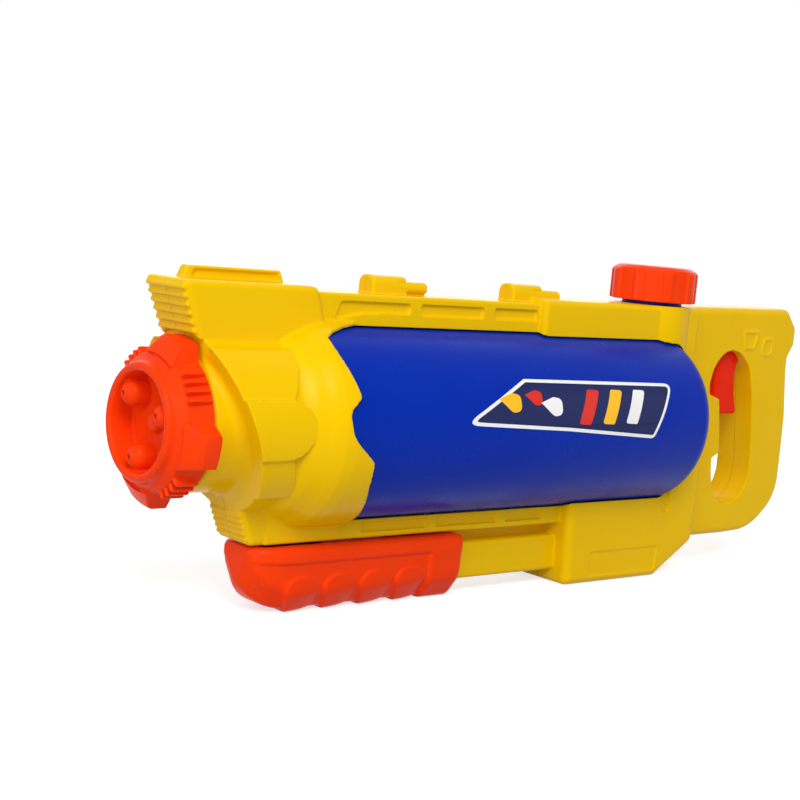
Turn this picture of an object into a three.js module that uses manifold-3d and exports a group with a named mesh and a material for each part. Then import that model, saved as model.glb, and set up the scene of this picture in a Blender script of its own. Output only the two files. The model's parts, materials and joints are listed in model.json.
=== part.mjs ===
// A pressurised water squirter: a hollow tank with a screw cap, held between two moulded body shells.
// A grip slides along a rail under the tank and pumps air in, a trigger in the rear handle opens a valve
// by a push rod, and water runs through a hose to a turning head with three outlets.
// Millimetres, +Z up. The outlets point to -X, the handle is at +X, and it stands on Z = 0.
import * as THREE from 'three';
import { mergeVertices } from 'three/addons/utils/BufferGeometryUtils.js';
import Module from 'manifold-3d';

const wasm = await Module();
wasm.setup();

// Walls and clearances
const WALL = 2.2;
const FIT = 0.4;
const SEAM = 0.3;
const SLIVER = 0.06;
const ROUND_SIDES = 32;
const SOFT_EDGE = 3.3;

// Lower rail's height above the surface it stands on, and how far the rails reach past the tank
const LOWER_Z = 34;
const RAIL_BELOW = 8.5;
const RAIL_ABOVE = 15.5;

// Tank, with stations along the length counted back from the front rim of the head
const TANK_START = 80;
const TANK_STRAIGHT = 262;
const TANK_RADIUS = 48;
const TANK_WALL = 2.6;
const TANK_GAP = 0.8;
const FRONT_DOME = 18;
const REAR_DOME = 30;
const NECK_FROM_END = 37;
const NECK_RADIUS = 17;
const NECK_BORE = 14;
const NECK_RISE = 18;

// Filler cap
const CAP_RADIUS = 24.5;
const CAP_RIB_DEPTH = 1.3;
const CAP_RIBS = 9;
const CAP_GAP = 4;
const CAP_TOP = 3;
const GASKET_THICKNESS = 1;

// Body shells
const RAIL_HALF = 14;
const REAR_HALF = 18;
const HOUSING_HALF = 21;
const HANDLE_HALF = 13.5;
const SHROUD_HALF = 14.5;
const SHROUD_FRONT = 11.4;
const SHROUD_LENGTH = 71;
const SHROUD_FOOT = 57.5;
const BULGE_RADIUS = 41.5;
const SLEEVE_WALL = 2.8;
const REAR_FROM_END = 141;
const HOUSING_FROM_END = 110;
const HOUSING_LENGTH = 83;
const COLUMN_RADIUS = 22;

// Rear handle: a raked grip behind a finger opening
const OPENING_FROM_END = 12;
const OPENING_DEPTH = 38;
const OPENING_BELOW_TOP = 24.5;
const OPENING_ABOVE_FOOT = 18.5;
const GRIP_DEPTH = 35;
const HANDLE_RAKE = 0.16;
const HANDLE_FOOT = 19;

// Turning head with three outlets
const HEAD_LENGTH = 32;
const HEAD_RIM = 26;
const HEAD_RADIUS = 33;
const LUG_RADIUS = 37.5;
const RECESS_DEPTH = 14;
const FLOOR_THICKNESS = 4;
const OUTLET_CIRCLE = 13.5;
const OUTLET_RADIUS = 6.5;
const OUTLETS = 3;
const NECK_TUBE = 30;

// Pump under the tank
const PUMP_STROKE = 72;
const GRIP_NOSE = 22;
const PUMP_Z = 17.25;
const PUMP_RAIL_HALF = 11;
const PUMP_RAIL_HEIGHT = 19.5;
const CYLINDER_RADIUS = 7;
const CYLINDER_BORE = 5.6;
const CYLINDER_LENGTH = 96;
const ROD_RADIUS = 2.5;
const PISTON_LENGTH = 8;
const GRIP_START = 55;
const GRIP_LENGTH = 129;
const GRIP_HALF = 20;
const GRIP_TOP = 32.8;
const LOBE_PITCH = 22.4;
const LOBES = 4;

// Valve, push rod and trigger
const ROD_BEHIND_TANK = 3.5;
const LINK_RADIUS = 1.2;
const VALVE_RADIUS = 6.5;
const VALVE_BORE = 4.8;
const VALVE_ABOVE_FOOT = 3.5;
const VALVE_HEIGHT = 34;
const PIVOT_BEHIND_ROD = 38.5;
const PIVOT_BELOW_TOP = 16;
const TRIGGER_HALF = 6.5;
const PIN_RADIUS = 2;
const TRIGGER_TURN = 8;

// Hoses and screws
const HOSE_RADIUS = 2.7;
const HOSE_BORE = 2.2;
const SPIGOT_RADIUS = 1.8;
const SCREW_RADIUS = 1.5;
const SCREW_HEAD = 3.2;
const SCREW_LENGTH = 18;
const BOSS_RADIUS = 4.2;

// Heights and stations that follow from the sizes above
const axisZ = LOWER_Z + RAIL_BELOW + TANK_RADIUS;
const topZ = axisZ + TANK_RADIUS + RAIL_ABOVE;
const sleeveRadius = TANK_RADIUS + SLEEVE_WALL;
const openingTop = topZ - OPENING_BELOW_TOP;
const openingFoot = HANDLE_FOOT + OPENING_ABOVE_FOOT;
const pivotZ = topZ - PIVOT_BELOW_TOP;
const valveFoot = HANDLE_FOOT + VALVE_ABOVE_FOOT;
const tankEnd = TANK_START + TANK_STRAIGHT + REAR_DOME;
const neckX = tankEnd - NECK_FROM_END;
const rearStart = tankEnd - REAR_FROM_END;
const housingStart = tankEnd - HOUSING_FROM_END;
const housingEnd = housingStart + HOUSING_LENGTH;
const openingX = tankEnd + OPENING_FROM_END;
const gripFront = openingX + OPENING_DEPTH;
const gripRear = gripFront + GRIP_DEPTH;
const handleFlare = 4;
const length = gripRear + handleFlare;
const nose = -length / 2;
const linkX = tankEnd + ROD_BEHIND_TANK;
const pivotX = linkX + PIVOT_BEHIND_ROD;
const neckTop = topZ + NECK_RISE;
const capFoot = topZ + CAP_GAP;
const capInner = neckTop + FIT + GASKET_THICKNESS + FIT;
const tankFoot = axisZ - TANK_RADIUS;
const noseEnd = GRIP_START + GRIP_NOSE;
const railStart = noseEnd + PUMP_STROKE + 1;

// Geometry helpers
function toSolid(geometry) {
  geometry.deleteAttribute('normal');
  geometry.deleteAttribute('uv');
  const merged = mergeVertices(geometry, 1e-4);
  const points = merged.attributes.position.array;
  const index = merged.index.array;
  const corner = (i) => new THREE.Vector3().fromArray(points, 3 * i);
  const triangles = [];
  let volume = 0;
  for (let i = 0; i < index.length; i += 3) {
    const [a, b, c] = index.slice(i, i + 3);
    if (a === b || b === c || c === a) continue;
    triangles.push([a, b, c]);
    volume += corner(a).dot(corner(b).cross(corner(c)));
  }
  if (volume < 0) triangles.forEach((triangle) => triangle.reverse());
  return new wasm.Manifold(new wasm.Mesh({
    numProp: 3,
    vertProperties: new Float32Array(points),
    triVerts: new Uint32Array(triangles.flat()),
  }));
}

function joined(solids) {
  return solids.reduce((whole, solid) => whole.add(solid));
}

// Points round a closed outline whose corners are [x, y, radius], sharp where the radius is left out.
function outline(corners, steps) {
  return corners.flatMap(([x, y, radius = 0], i) => {
    const here = new THREE.Vector2(x, y);
    const last = new THREE.Vector2(...corners.at(i - 1).slice(0, 2));
    const next = new THREE.Vector2(...corners[(i + 1) % corners.length].slice(0, 2));
    const toLast = last.clone().sub(here);
    const toNext = next.clone().sub(here);
    const halfAngle = toLast.angleTo(toNext) / 2;
    const reach = Math.min(radius / Math.tan(halfAngle), toLast.length() * 0.49, toNext.length() * 0.49);
    if (reach <= 0) return [here];
    const start = here.clone().addScaledVector(toLast.normalize(), reach);
    const end = here.clone().addScaledVector(toNext.normalize(), reach);
    return new THREE.QuadraticBezierCurve(start, here, end).getPoints(steps);
  });
}

// The same corners moved inwards by a wall, with the radii that keep the wall even.
function inset(corners, wall) {
  const points = corners.map(([x, y]) => new THREE.Vector2(x, y));
  const turn = Math.sign(THREE.ShapeUtils.area(points));
  const count = corners.length;
  const edges = points.map((point, i) => {
    const along = points[(i + 1) % count].clone().sub(point).normalize();
    const inward = new THREE.Vector2(-along.y, along.x).multiplyScalar(turn * wall);
    return { start: point.clone().add(inward), along };
  });
  return corners.map((corner, i) => {
    const before = edges[(i + count - 1) % count];
    const after = edges[i];
    const bend = before.along.cross(after.along);
    const radius = Math.max((corner[2] ?? 0) - Math.sign(bend) * turn * wall, 0.5);
    if (Math.abs(bend) < 1e-3) return [after.start.x, after.start.y, radius];
    const gap = after.start.clone().sub(before.start);
    const point = before.start.clone().addScaledVector(before.along, gap.cross(after.along) / bend);
    return [point.x, point.y, radius];
  });
}

// A slab between two outlines' planes at -half and +half, with its edges rounded to a quarter of an
// ellipse: edge is taken off the outline over the given depth.
function slab(corners, half, edge, depth, steps) {
  if (edge === 0) {
    const shape = new THREE.Shape(outline(corners, steps));
    return new THREE.ExtrudeGeometry(shape, { depth: 2 * half, bevelEnabled: false }).translate(0, 0, -half);
  }
  const soft = corners.map(([x, y, radius = 0]) => [x, y, Math.max(radius, 0.6)]);
  const edgeSteps = edge > SOFT_EDGE ? 2 : 1;
  const levels = Array.from({ length: edgeSteps + 1 }, (_, i) => (Math.PI / 2) * (i / edgeSteps));
  const rings = [...levels.toReversed().map((a) => [a, -1]), ...levels.map((a) => [a, 1])].map(([a, side]) => {
    const taken = edge * (1 - Math.cos(a));
    const height = side * (half - depth + depth * Math.sin(a));
    const ringCorners = taken > 0 ? inset(soft, taken) : soft;
    return outline(ringCorners, steps).map(({ x, y }) => new THREE.Vector3(x, y, height));
  });
  const count = rings[0].length;
  const triangles = [];
  for (let k = 0; k + 1 < rings.length; k += 1) {
    for (let i = 0; i < count; i += 1) {
      const [a, b] = [k * count + i, k * count + ((i + 1) % count)];
      triangles.push(a, b, b + count, a, b + count, a + count);
    }
  }
  const lid = THREE.ShapeUtils.triangulateShape(rings[0].map(({ x, y }) => new THREE.Vector2(x, y)), []);
  const top = (rings.length - 1) * count;
  const lidRing = THREE.ShapeUtils.area(rings[0]) > 0 ? 1 : -1;
  lid.forEach(([a, b, c]) => {
    const turn = THREE.ShapeUtils.area([rings[0][a], rings[0][b], rings[0][c]]) * lidRing > 0;
    const [p, q, r] = turn ? [a, b, c] : [a, c, b];
    triangles.push(p, r, q, top + p, top + q, top + r);
  });
  const geometry = new THREE.BufferGeometry().setFromPoints(rings.flat());
  return geometry.setIndex(triangles);
}

// A plate of the given half width about the middle plane, cut to an outline seen from the side.
function plate(corners, half, edge = 0, steps = 2) {
  const geometry = slab(corners, half, edge, edge, steps).rotateX(Math.PI / 2);
  return toSolid(geometry.translate(nose, 0, 0));
}

// A bar along the length with the section [y, z, radius], from one station to another.
function bar(corners, from, to, edge = 0, depth = edge, steps = 2) {
  const geometry = slab(corners, (to - from) / 2, edge, depth, steps);
  const axes = new THREE.Matrix4().makeBasis(
    new THREE.Vector3(0, 1, 0), new THREE.Vector3(0, 0, 1), new THREE.Vector3(1, 0, 0));
  return toSolid(geometry.applyMatrix4(axes).translate(nose + (from + to) / 2, 0, 0));
}

function turned(profile, segments) {
  return new THREE.LatheGeometry(profile.map(([along, radius]) => new THREE.Vector2(radius, along)), segments);
}

// Turned pieces, from [station, radius] along the length or [height, radius] upwards.
function turnedAlong(profile, segments = 24, y = 0, z = axisZ) {
  return toSolid(turned(profile, segments).rotateZ(-Math.PI / 2).translate(nose, y, z));
}

function turnedUp(profile, x, segments = 24, y = 0) {
  return toSolid(turned(profile, segments).rotateX(Math.PI / 2).translate(nose + x, y, 0));
}

function turnedAcross(profile, x, z, segments = 8) {
  return toSolid(turned(profile, segments).translate(nose + x, 0, z));
}

function rod(from, to, radius) {
  return [[from, 0], [from, radius], [to, radius], [to, 0]];
}

function tube(from, to, radius, bore) {
  return [[from, bore], [from, radius], [to, radius], [to, bore], [from, bore]];
}

// A ring of round section, such as a seal.
function ring(at, radius, thickness, sides = 6) {
  return Array.from({ length: sides + 1 }, (_, i) => {
    const angle = (-2 * Math.PI * (i % sides)) / sides;
    return [at + thickness * Math.sin(angle), radius + thickness * Math.cos(angle)];
  });
}

function hose(points, steps) {
  const sides = 8;
  const circle = (radius) => Array.from({ length: sides }, (_, i) => {
    const angle = (2 * Math.PI * i) / sides;
    return new THREE.Vector2(radius * Math.cos(angle), radius * Math.sin(angle));
  });
  const section = new THREE.Shape(circle(HOSE_RADIUS));
  section.holes.push(new THREE.Path(circle(HOSE_BORE)));
  const route = new THREE.CatmullRomCurve3(points.map(([x, y, z]) => new THREE.Vector3(nose + x, y, z)));
  return toSolid(new THREE.ExtrudeGeometry(section, { extrudePath: route, steps }));
}

class Helix extends THREE.Curve {
  constructor(start, axis, side, radius, curls, height) {
    super();
    Object.assign(this, { start, axis, side, radius, curls, height });
  }

  getPoint(t) {
    const angle = 2 * Math.PI * this.curls * t;
    const other = this.axis.clone().cross(this.side);
    return this.start.clone()
      .addScaledVector(this.axis, this.height * t)
      .addScaledVector(this.side, this.radius * Math.cos(angle))
      .addScaledVector(other, this.radius * Math.sin(angle));
  }
}

function spring(start, axis, side, radius, wire, curls, height) {
  const stepsPerCurl = 8;
  const wireSides = 5;
  const section = new THREE.Shape(Array.from({ length: wireSides }, (_, i) => {
    const angle = (2 * Math.PI * i) / wireSides;
    return new THREE.Vector2(wire * Math.cos(angle), wire * Math.sin(angle));
  }));
  const extrudePath = new Helix(start, axis, side, radius, curls, height);
  console.log(`spring: least gap between curls ${(height / curls - 2 * wire).toFixed(2)} mm`);
  return toSolid(new THREE.ExtrudeGeometry(section, { extrudePath, steps: curls * stepsPerCurl }));
}

// Materials
function finish(color, roughness, metalness = 0) {
  return { color, roughness, metalness };
}

const YELLOW = finish(0xeac400, 0.3);
const BLUE = finish(0x0b37b4, 0.35);
const ORANGE = finish(0xf04a18, 0.35);
const RED = finish(0xe02808, 0.35);
const NATURAL = finish(0xe8e6df, 0.45);
const RUBBER = finish(0x202022, 0.8);
const VINYL = finish(0xcfd6d8, 0.4);
const STEEL = finish(0xb8bcc0, 0.35, 1);

const squirter = new THREE.Group();

function piece(name, solid, look) {
  const { vertProperties, triVerts } = solid.simplify(SLIVER).getMesh();
  const geometry = new THREE.BufferGeometry();
  geometry.setAttribute('position', new THREE.BufferAttribute(new Float32Array(vertProperties), 3));
  geometry.setIndex(new THREE.BufferAttribute(new Uint32Array(triVerts), 1));
  geometry.computeVertexNormals();
  const mesh = new THREE.Mesh(geometry, new THREE.MeshStandardMaterial(look));
  mesh.name = name;
  squirter.add(mesh);
}

// Tank: a tube with a rounded end each way, a filler neck on top and two hose spigots below.
const AIR_SPIGOT = { x: tankEnd - 60, y: 9 };
const WATER_SPIGOT = { x: tankEnd - 27, y: 0 };
const spigotReach = 6;

function capsule(radius, front, rear, segments) {
  const steps = 4;
  const quarter = Array.from({ length: steps + 1 }, (_, i) => (Math.PI / 2) * (i / steps));
  const ahead = quarter.map((a) => [TANK_START - front * Math.cos(a), radius * Math.sin(a)]);
  const behind = quarter.map((a) => [TANK_START + TANK_STRAIGHT + rear * Math.sin(a), radius * Math.cos(a)]);
  ahead[0][1] = 0;
  behind[steps][1] = 0;
  return turnedAlong([...ahead, ...behind], segments);
}

function pressureTank() {
  const outside = capsule(TANK_RADIUS, FRONT_DOME, REAR_DOME, ROUND_SIDES);
  const inside = capsule(TANK_RADIUS - TANK_WALL, FRONT_DOME - TANK_WALL, REAR_DOME - TANK_WALL, ROUND_SIDES);
  const neck = turnedUp(rod(axisZ, neckTop, NECK_RADIUS), neckX, 24);
  const mouth = turnedUp(rod(axisZ, neckTop + WALL, NECK_BORE), neckX, 24);
  const spigots = [AIR_SPIGOT, WATER_SPIGOT];
  const stubs = spigots.map(({ x, y }) => turnedUp(rod(tankFoot - spigotReach, axisZ, SPIGOT_RADIUS), x, 12, y));
  const bores = spigots.map(({ x, y }) => turnedUp(rod(tankFoot - 2 * spigotReach, axisZ, SPIGOT_RADIUS / 2), x, 8, y));
  return joined([outside, neck, ...stubs]).subtract(joined([inside, mouth, ...bores]));
}

const tankRoom = capsule(TANK_RADIUS + TANK_GAP, FRONT_DOME + TANK_GAP, REAR_DOME + TANK_GAP, ROUND_SIDES);

// Body: outlines seen from the side, as [station, height, corner radius].
const rake = (x, z) => x + (axisZ - z) * HANDLE_RAKE;
const raked = (x, z, radius) => [rake(x, z), z, radius];
const shroudRake = (SHROUD_FOOT - SHROUD_FRONT) / (topZ - LOWER_Z);
const shroudFace = (z) => SHROUD_FRONT + (topZ - z) * shroudRake;
const shroudEnd = SHROUD_FRONT + SHROUD_LENGTH;

const spineOutline = [
  [TANK_START - 15, LOWER_Z, 1], [housingStart + 30, LOWER_Z], [housingStart + 30, topZ],
  [TANK_START - 15, topZ, 1],
];
const shroudOutline = [
  [shroudFace(LOWER_Z), LOWER_Z, 2], [shroudEnd + 32, LOWER_Z, 2], [shroudEnd + 32, axisZ - 34, 4],
  [shroudEnd + 12, axisZ + 30, 4], [shroudEnd, topZ + 1, 4], [shroudFace(topZ + 1), topZ + 1, 1.5],
];
const rearOutline = [
  [rearStart, topZ, 2], [openingX + 6, topZ, 4], [openingX + 6, HANDLE_FOOT + 2, 6],
  [tankEnd - 30, HANDLE_FOOT + 2, 4], [tankEnd - 30, axisZ, 2], [rearStart, axisZ, 2],
];
const housingOutline = [
  [housingStart + 2, 0, 4], [housingEnd - 2, 0, 5], [housingEnd + 7, 5, 5], [housingEnd + 22, 14, 6],
  [tankEnd + 2, HANDLE_FOOT, 6], [tankEnd + 2, axisZ - 24, 6], [housingStart - 2, axisZ - 24, 4],
];
const handleOutline = [
  [neckX + 30, HANDLE_FOOT, 4], [openingX + 16, HANDLE_FOOT, 20], [gripFront + 8, HANDLE_FOOT + 5, 26],
  raked(gripRear - 5, HANDLE_FOOT + 21, 28), raked(gripRear, HANDLE_FOOT + 47, 24), raked(gripRear, topZ - 36, 12),
  raked(gripRear + 2, topZ - 27, 5), [length, topZ - 19, 5], [length, topZ - 11, 7], [length - 13, topZ, 8],
  [neckX + 30, topZ, 4],
];
const tabTop = axisZ + 13;
const tabFoot = axisZ - 21;
const tabReach = 7.5;
const openingOutline = [
  raked(openingX, openingTop, 22), raked(gripFront, openingTop, 15), raked(gripFront, openingFoot, 17),
  raked(openingX, openingFoot, 14), raked(openingX, tabFoot - 2, 1), raked(openingX + tabReach, tabFoot, 1),
  raked(openingX + tabReach, tabTop, 1), raked(openingX, tabTop + 3, 1),
];

// The bulge round the tank's front end: a faceted collar, then a sleeve that flares over the tank.
const collarEnd = TANK_START - 18;
const flareEnd = TANK_START + 6;
const sleeveEnd = TANK_START + 34;
const bulgeProfile = [
  [SHROUD_FRONT, 0], [SHROUD_FRONT, BULGE_RADIUS], [collarEnd, BULGE_RADIUS], [collarEnd + 1, BULGE_RADIUS + 1],
  [collarEnd + 10, sleeveRadius - 4], [collarEnd + 17, sleeveRadius - 1.2], [flareEnd, sleeveRadius],
  [sleeveEnd, sleeveRadius], [sleeveEnd, 0],
];
const bulgeRoomProfile = [
  [SHROUD_FRONT, 0], [SHROUD_FRONT, BULGE_RADIUS - WALL], [collarEnd, BULGE_RADIUS - WALL],
  [collarEnd + 10, sleeveRadius - 4 - WALL], [flareEnd, TANK_RADIUS], [sleeveEnd, TANK_RADIUS], [sleeveEnd, 0],
];
const scallop = [
  [0, axisZ + 60], [shroudEnd + 4, axisZ + 60], [shroudEnd, axisZ + 43], [shroudEnd, axisZ + 28, 20],
  [shroudEnd + 5.5, axisZ + 14.5, 3], [shroudEnd + 0.5, axisZ + 7, 8], [shroudEnd + 4, axisZ - 3, 12],
  [shroudEnd + 15, axisZ - 11, 5], [shroudEnd + 19, axisZ - 26, 20], [shroudEnd + 30, axisZ - 46, 6],
  [shroudEnd + 31, axisZ - 60], [0, axisZ - 60],
];
// Three overlapping pads on each side of the collar: lower edge, upper edge, length and height.
const PADS = [
  { foot: 16, top: 35, reach: 2, rise: 1.2 },
  { foot: -10, top: 17.5, reach: 7, rise: 2.4 },
  { foot: -27, top: -8.5, reach: 1, rise: 1.2 },
];

function collarPad({ foot, top, reach, rise }) {
  const outline = [
    [SHROUD_FRONT, axisZ + foot, 0], [collarEnd + reach, axisZ + foot, 9],
    [collarEnd + reach, axisZ + top, 9], [SHROUD_FRONT, axisZ + top, 0],
  ];
  const radius = BULGE_RADIUS + rise;
  return plate(outline, sleeveRadius).intersect(turnedAlong(rod(SHROUD_FRONT, collarEnd + 10, radius), ROUND_SIDES));
}

// What lies ahead of the raked front face, moved back along the face's normal by a wall.
function aheadOfFace(wall) {
  const back = wall * Math.hypot(1, shroudRake);
  const reach = 60;
  return plate([
    [-reach, topZ + reach], [shroudFace(topZ + reach) + back, topZ + reach], [shroudFace(-reach) + back, -reach],
    [-reach, -reach],
  ], sleeveRadius + reach);
}

// The head turns in a round recess in the front face.
const headRoomEnd = HEAD_LENGTH + 2;
const headRoomRadius = LUG_RADIUS + 2;
function headRoom(wall) {
  return turnedAlong(rod(-WALL, headRoomEnd + wall, headRoomRadius + wall), ROUND_SIDES);
}

function faceRibs(first, last, count, half) {
  const radius = 1.1;
  return Array.from({ length: count }, (_, i) => {
    const z = first + ((last - first) * i) / (count - 1);
    const x = shroudFace(z);
    return plate([[x - radius, z - radius, 0.6], [x + 2, z - radius], [x + 2, z + radius], [x - radius, z + radius, 0.6]], half);
  });
}

// A sight fin and two sling lugs stand on the top.
const finOutline = [
  [SHROUD_FRONT + 6, topZ - 2], [shroudEnd - 9, topZ - 2], [shroudEnd - 13, topZ + 6.6, 1],
  [SHROUD_FRONT + 10, topZ + 6.6, 1],
];
const finPanel = [
  [SHROUD_FRONT + 12, topZ + 1.5, 0.5], [shroudEnd - 13, topZ + 1.5, 0.5], [shroudEnd - 14.5, topZ + 5.2, 0.5],
  [SHROUD_FRONT + 13.5, topZ + 5.2, 0.5],
];
const LUGS = [TANK_START + 43, TANK_START + 138];
const lugOutline = (x) => [
  [x, topZ - 2], [x + 21, topZ - 2], [x + 21, topZ + 0.5], [x + 34, topZ + 0.5, 1], [x + 34, topZ + 3.4, 1],
  [x + 21, topZ + 3.4], [x + 20, topZ + 6, 1.5], [x + 2, topZ + 6, 1.5],
];

// Shallow panels along the sides of the rails: [start, end] between the tank's ends.
const TOP_PANELS = [[18, 62], [68.5, 111.5], [118.5, 148]];
const LOWER_PANELS = [[42, 85], [91, 134], [140, 168]];
const panelDepth = 1.2;

function railPanels() {
  const side = (outline) => plate(outline, RAIL_HALF + WALL).subtract(plate(outline, RAIL_HALF - panelDepth));
  const top = TOP_PANELS.map(([from, to]) => side([
    [TANK_START + from, topZ - 10, 1.5], [TANK_START + to, topZ - 10, 1.5], [TANK_START + to, topZ - 5, 1.5],
    [TANK_START + from, topZ - 5, 1.5],
  ]));
  const lower = LOWER_PANELS.map(([from, to]) => side([
    [TANK_START + from, LOWER_Z + 3, 1], [TANK_START + to, LOWER_Z + 3, 1], [TANK_START + to, LOWER_Z + 8, 1],
    [TANK_START + from, LOWER_Z + 8, 1],
  ]));
  return joined([...top, ...lower]);
}

// A shallow panel on each side of the housing, and a notch where the housing meets the handle's lower arm.
const housingPanel = [
  [housingStart + 19, 4, 2], [housingEnd - 8, 4, 2], [housingEnd - 7, 18, 2], [housingStart + 19, 18, 2],
];
const notchOutline = [
  [housingEnd - 4, LOWER_Z + 3, 1.5], [housingEnd + 5, LOWER_Z + 3, 1.5], [housingEnd + 5, LOWER_Z + 17, 1.5],
  [housingEnd - 4, LOWER_Z + 17, 1.5],
];
function housingCuts() {
  const side = (outline, depth) => plate(outline, HOUSING_HALF + WALL).subtract(plate(outline, HOUSING_HALF - depth));
  return side(housingPanel, panelDepth / 2).add(side(notchOutline, 2 * panelDepth));
}

// The pump rail under the tank, and the round tube that carries the head.
const pumpRailFoot = PUMP_Z - PUMP_RAIL_HEIGHT / 2;
const pumpRailTop = PUMP_Z + PUMP_RAIL_HEIGHT / 2;
function pumpRailSection(gap, radius) {
  const half = PUMP_RAIL_HALF - gap;
  return [
    [-half, pumpRailFoot + gap, radius], [half, pumpRailFoot + gap, radius], [half, pumpRailTop - gap, radius],
    [-half, pumpRailTop - gap, radius],
  ];
}
const headTubeFront = HEAD_LENGTH - 4;
const headTubeEnd = collarEnd - 6;
const stemRadius = 8;

// Screws that join the shells, as [station, height].
const SCREWS = [
  [SHROUD_FRONT + 38, topZ - 12], [TANK_START + 115, topZ - 7], [rearStart + 54, topZ - 8],
  [length - 15, topZ - 15], [rake(gripRear - 16, 88), 88], [rake(gripFront + 10, 36), 33],
  [openingX + 14, HANDLE_FOOT + 9.5], [housingEnd - 10, 10],
];

const slotHalf = TRIGGER_HALF + FIT;
const triggerFoot = axisZ + 1;
const triggerSlot = [
  [pivotX - 8, triggerFoot - 1, 1], [gripFront + 16, triggerFoot - 1, 1], [gripFront + 16, pivotZ + 2, 1],
  [pivotX - 20, pivotZ + 2, 1], [pivotX - 20, openingTop - 6, 1],
];

function wholeBody() {
  const face = aheadOfFace(0);
  const front = joined([
    plate(shroudOutline, SHROUD_HALF, 2.5),
    turnedAlong(bulgeProfile, ROUND_SIDES).intersect(plate(scallop, sleeveRadius + WALL)),
    ...PADS.map(collarPad),
  ]).subtract(joined([face, headRoom(0)]));
  const upperRibs = faceRibs(topZ - 2.5, axisZ + headRoomRadius + 0.5, 6, SHROUD_HALF - 3);
  const lowerRibs = faceRibs(LOWER_Z + 3, axisZ - headRoomRadius - 0.5, 5, SHROUD_HALF - 3);
  const outside = joined([
    front, ...upperRibs, ...lowerRibs,
    turnedAlong(rod(headTubeFront, headTubeEnd, NECK_TUBE), ROUND_SIDES),
    plate(finOutline, 3.2), ...LUGS.map((x) => plate(lugOutline(x), 4)),
    plate(spineOutline, RAIL_HALF, 1),
    plate(rearOutline, REAR_HALF, 3),
    turnedUp(rod(axisZ, topZ, COLUMN_RADIUS), neckX, ROUND_SIDES),
    plate(housingOutline, HOUSING_HALF, 4.5),
    plate(handleOutline, HANDLE_HALF, 4),
    bar(pumpRailSection(0, 2.5), railStart, housingStart + 20),
  ]);
  const frontRoom = joined([
    plate(inset(shroudOutline, WALL), SHROUD_HALF - WALL),
    turnedAlong(bulgeRoomProfile, ROUND_SIDES).intersect(plate(inset(scallop, WALL), sleeveRadius)),
  ]).subtract(joined([aheadOfFace(WALL), headRoom(WALL)]));
  const inside = joined([
    frontRoom,
    turnedAlong(rod(headTubeFront + WALL, headTubeEnd, NECK_TUBE - WALL), 24),
    turnedAlong(rod(headTubeFront - WALL, headTubeEnd, stemRadius + FIT), 20),
    plate(inset(spineOutline, WALL), RAIL_HALF - WALL),
    plate(inset(rearOutline, WALL), REAR_HALF - WALL),
    turnedUp(rod(axisZ, topZ - WALL, COLUMN_RADIUS - WALL), neckX, 24),
    plate(inset(housingOutline, WALL), HOUSING_HALF - WALL),
    plate(inset(handleOutline, WALL), HANDLE_HALF - WALL),
    bar(pumpRailSection(WALL, 1), railStart - WALL, housingStart + 20),
  ]);
  const openingWall = plate(inset(openingOutline, -WALL), REAR_HALF + WALL).intersect(outside);
  const bosses = SCREWS.map(([x, z]) => turnedAcross(rod(-HOUSING_HALF, HOUSING_HALF, BOSS_RADIUS), x, z));
  const pinBoss = turnedAcross(rod(-HANDLE_HALF, HANDLE_HALF, 2 * PIN_RADIUS), pivotX, pivotZ);
  const shaftRoom = plate([
    [linkX - 6, pivotZ - 7], [gripFront + 16, pivotZ - 7], [gripFront + 16, pivotZ + 7], [linkX - 6, pivotZ + 7],
  ], slotHalf);
  const posts = joined([...bosses, pinBoss]).intersect(outside).subtract(shaftRoom);
  const cuts = joined([
    tankRoom,
    turnedUp(rod(axisZ, topZ + WALL, NECK_RADIUS + FIT), neckX, 24),
    plate(openingOutline, HOUSING_HALF + WALL, 0, 4),
    plate(triggerSlot, slotHalf),
    turnedAcross(rod(WALL - HANDLE_HALF, HANDLE_HALF - WALL, PIN_RADIUS + FIT / 2), pivotX, pivotZ),
    railPanels(),
    housingCuts(),
    plate(finPanel, 5).subtract(plate(finPanel, 1.8)),
  ]);
  return outside.subtract(inside).add(openingWall).add(posts).subtract(cuts);
}

// Each screw enters from the right side, through the right shell into the left.
const screwDepth = 9;
const screwHole = [
  [-10, 0], [-10, SCREW_RADIUS + SEAM], [screwDepth - FIT, SCREW_RADIUS + SEAM], [screwDepth - FIT, SCREW_HEAD + FIT],
  [HOUSING_HALF + WALL, SCREW_HEAD + FIT], [HOUSING_HALF + WALL, 0],
];
const screwProfile = [
  [screwDepth - SCREW_LENGTH, 0], [screwDepth - SCREW_LENGTH + 2, SCREW_RADIUS], [screwDepth, SCREW_RADIUS],
  [screwDepth, SCREW_HEAD], [screwDepth + 2, SCREW_HEAD * 0.7], [screwDepth + 2, 0],
];

function bodyShells() {
  const holes = SCREWS.map(([x, z]) => turnedAcross(screwHole, x, z));
  const body = wholeBody().subtract(joined(holes));
  const reach = 400;
  const side = (sign) => {
    const half = new THREE.BoxGeometry(2 * reach, reach, 2 * reach);
    return body.intersect(toSolid(half.translate(0, sign * (reach / 2 + SEAM / 2), 0)));
  };
  piece('body_shell_left', side(-1), YELLOW);
  piece('body_shell_right', side(1), YELLOW);
  SCREWS.forEach(([x, z], i) => piece(`body_screw_${i + 1}`, turnedAcross(screwProfile, x, z, 8), STEEL));
}

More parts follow.
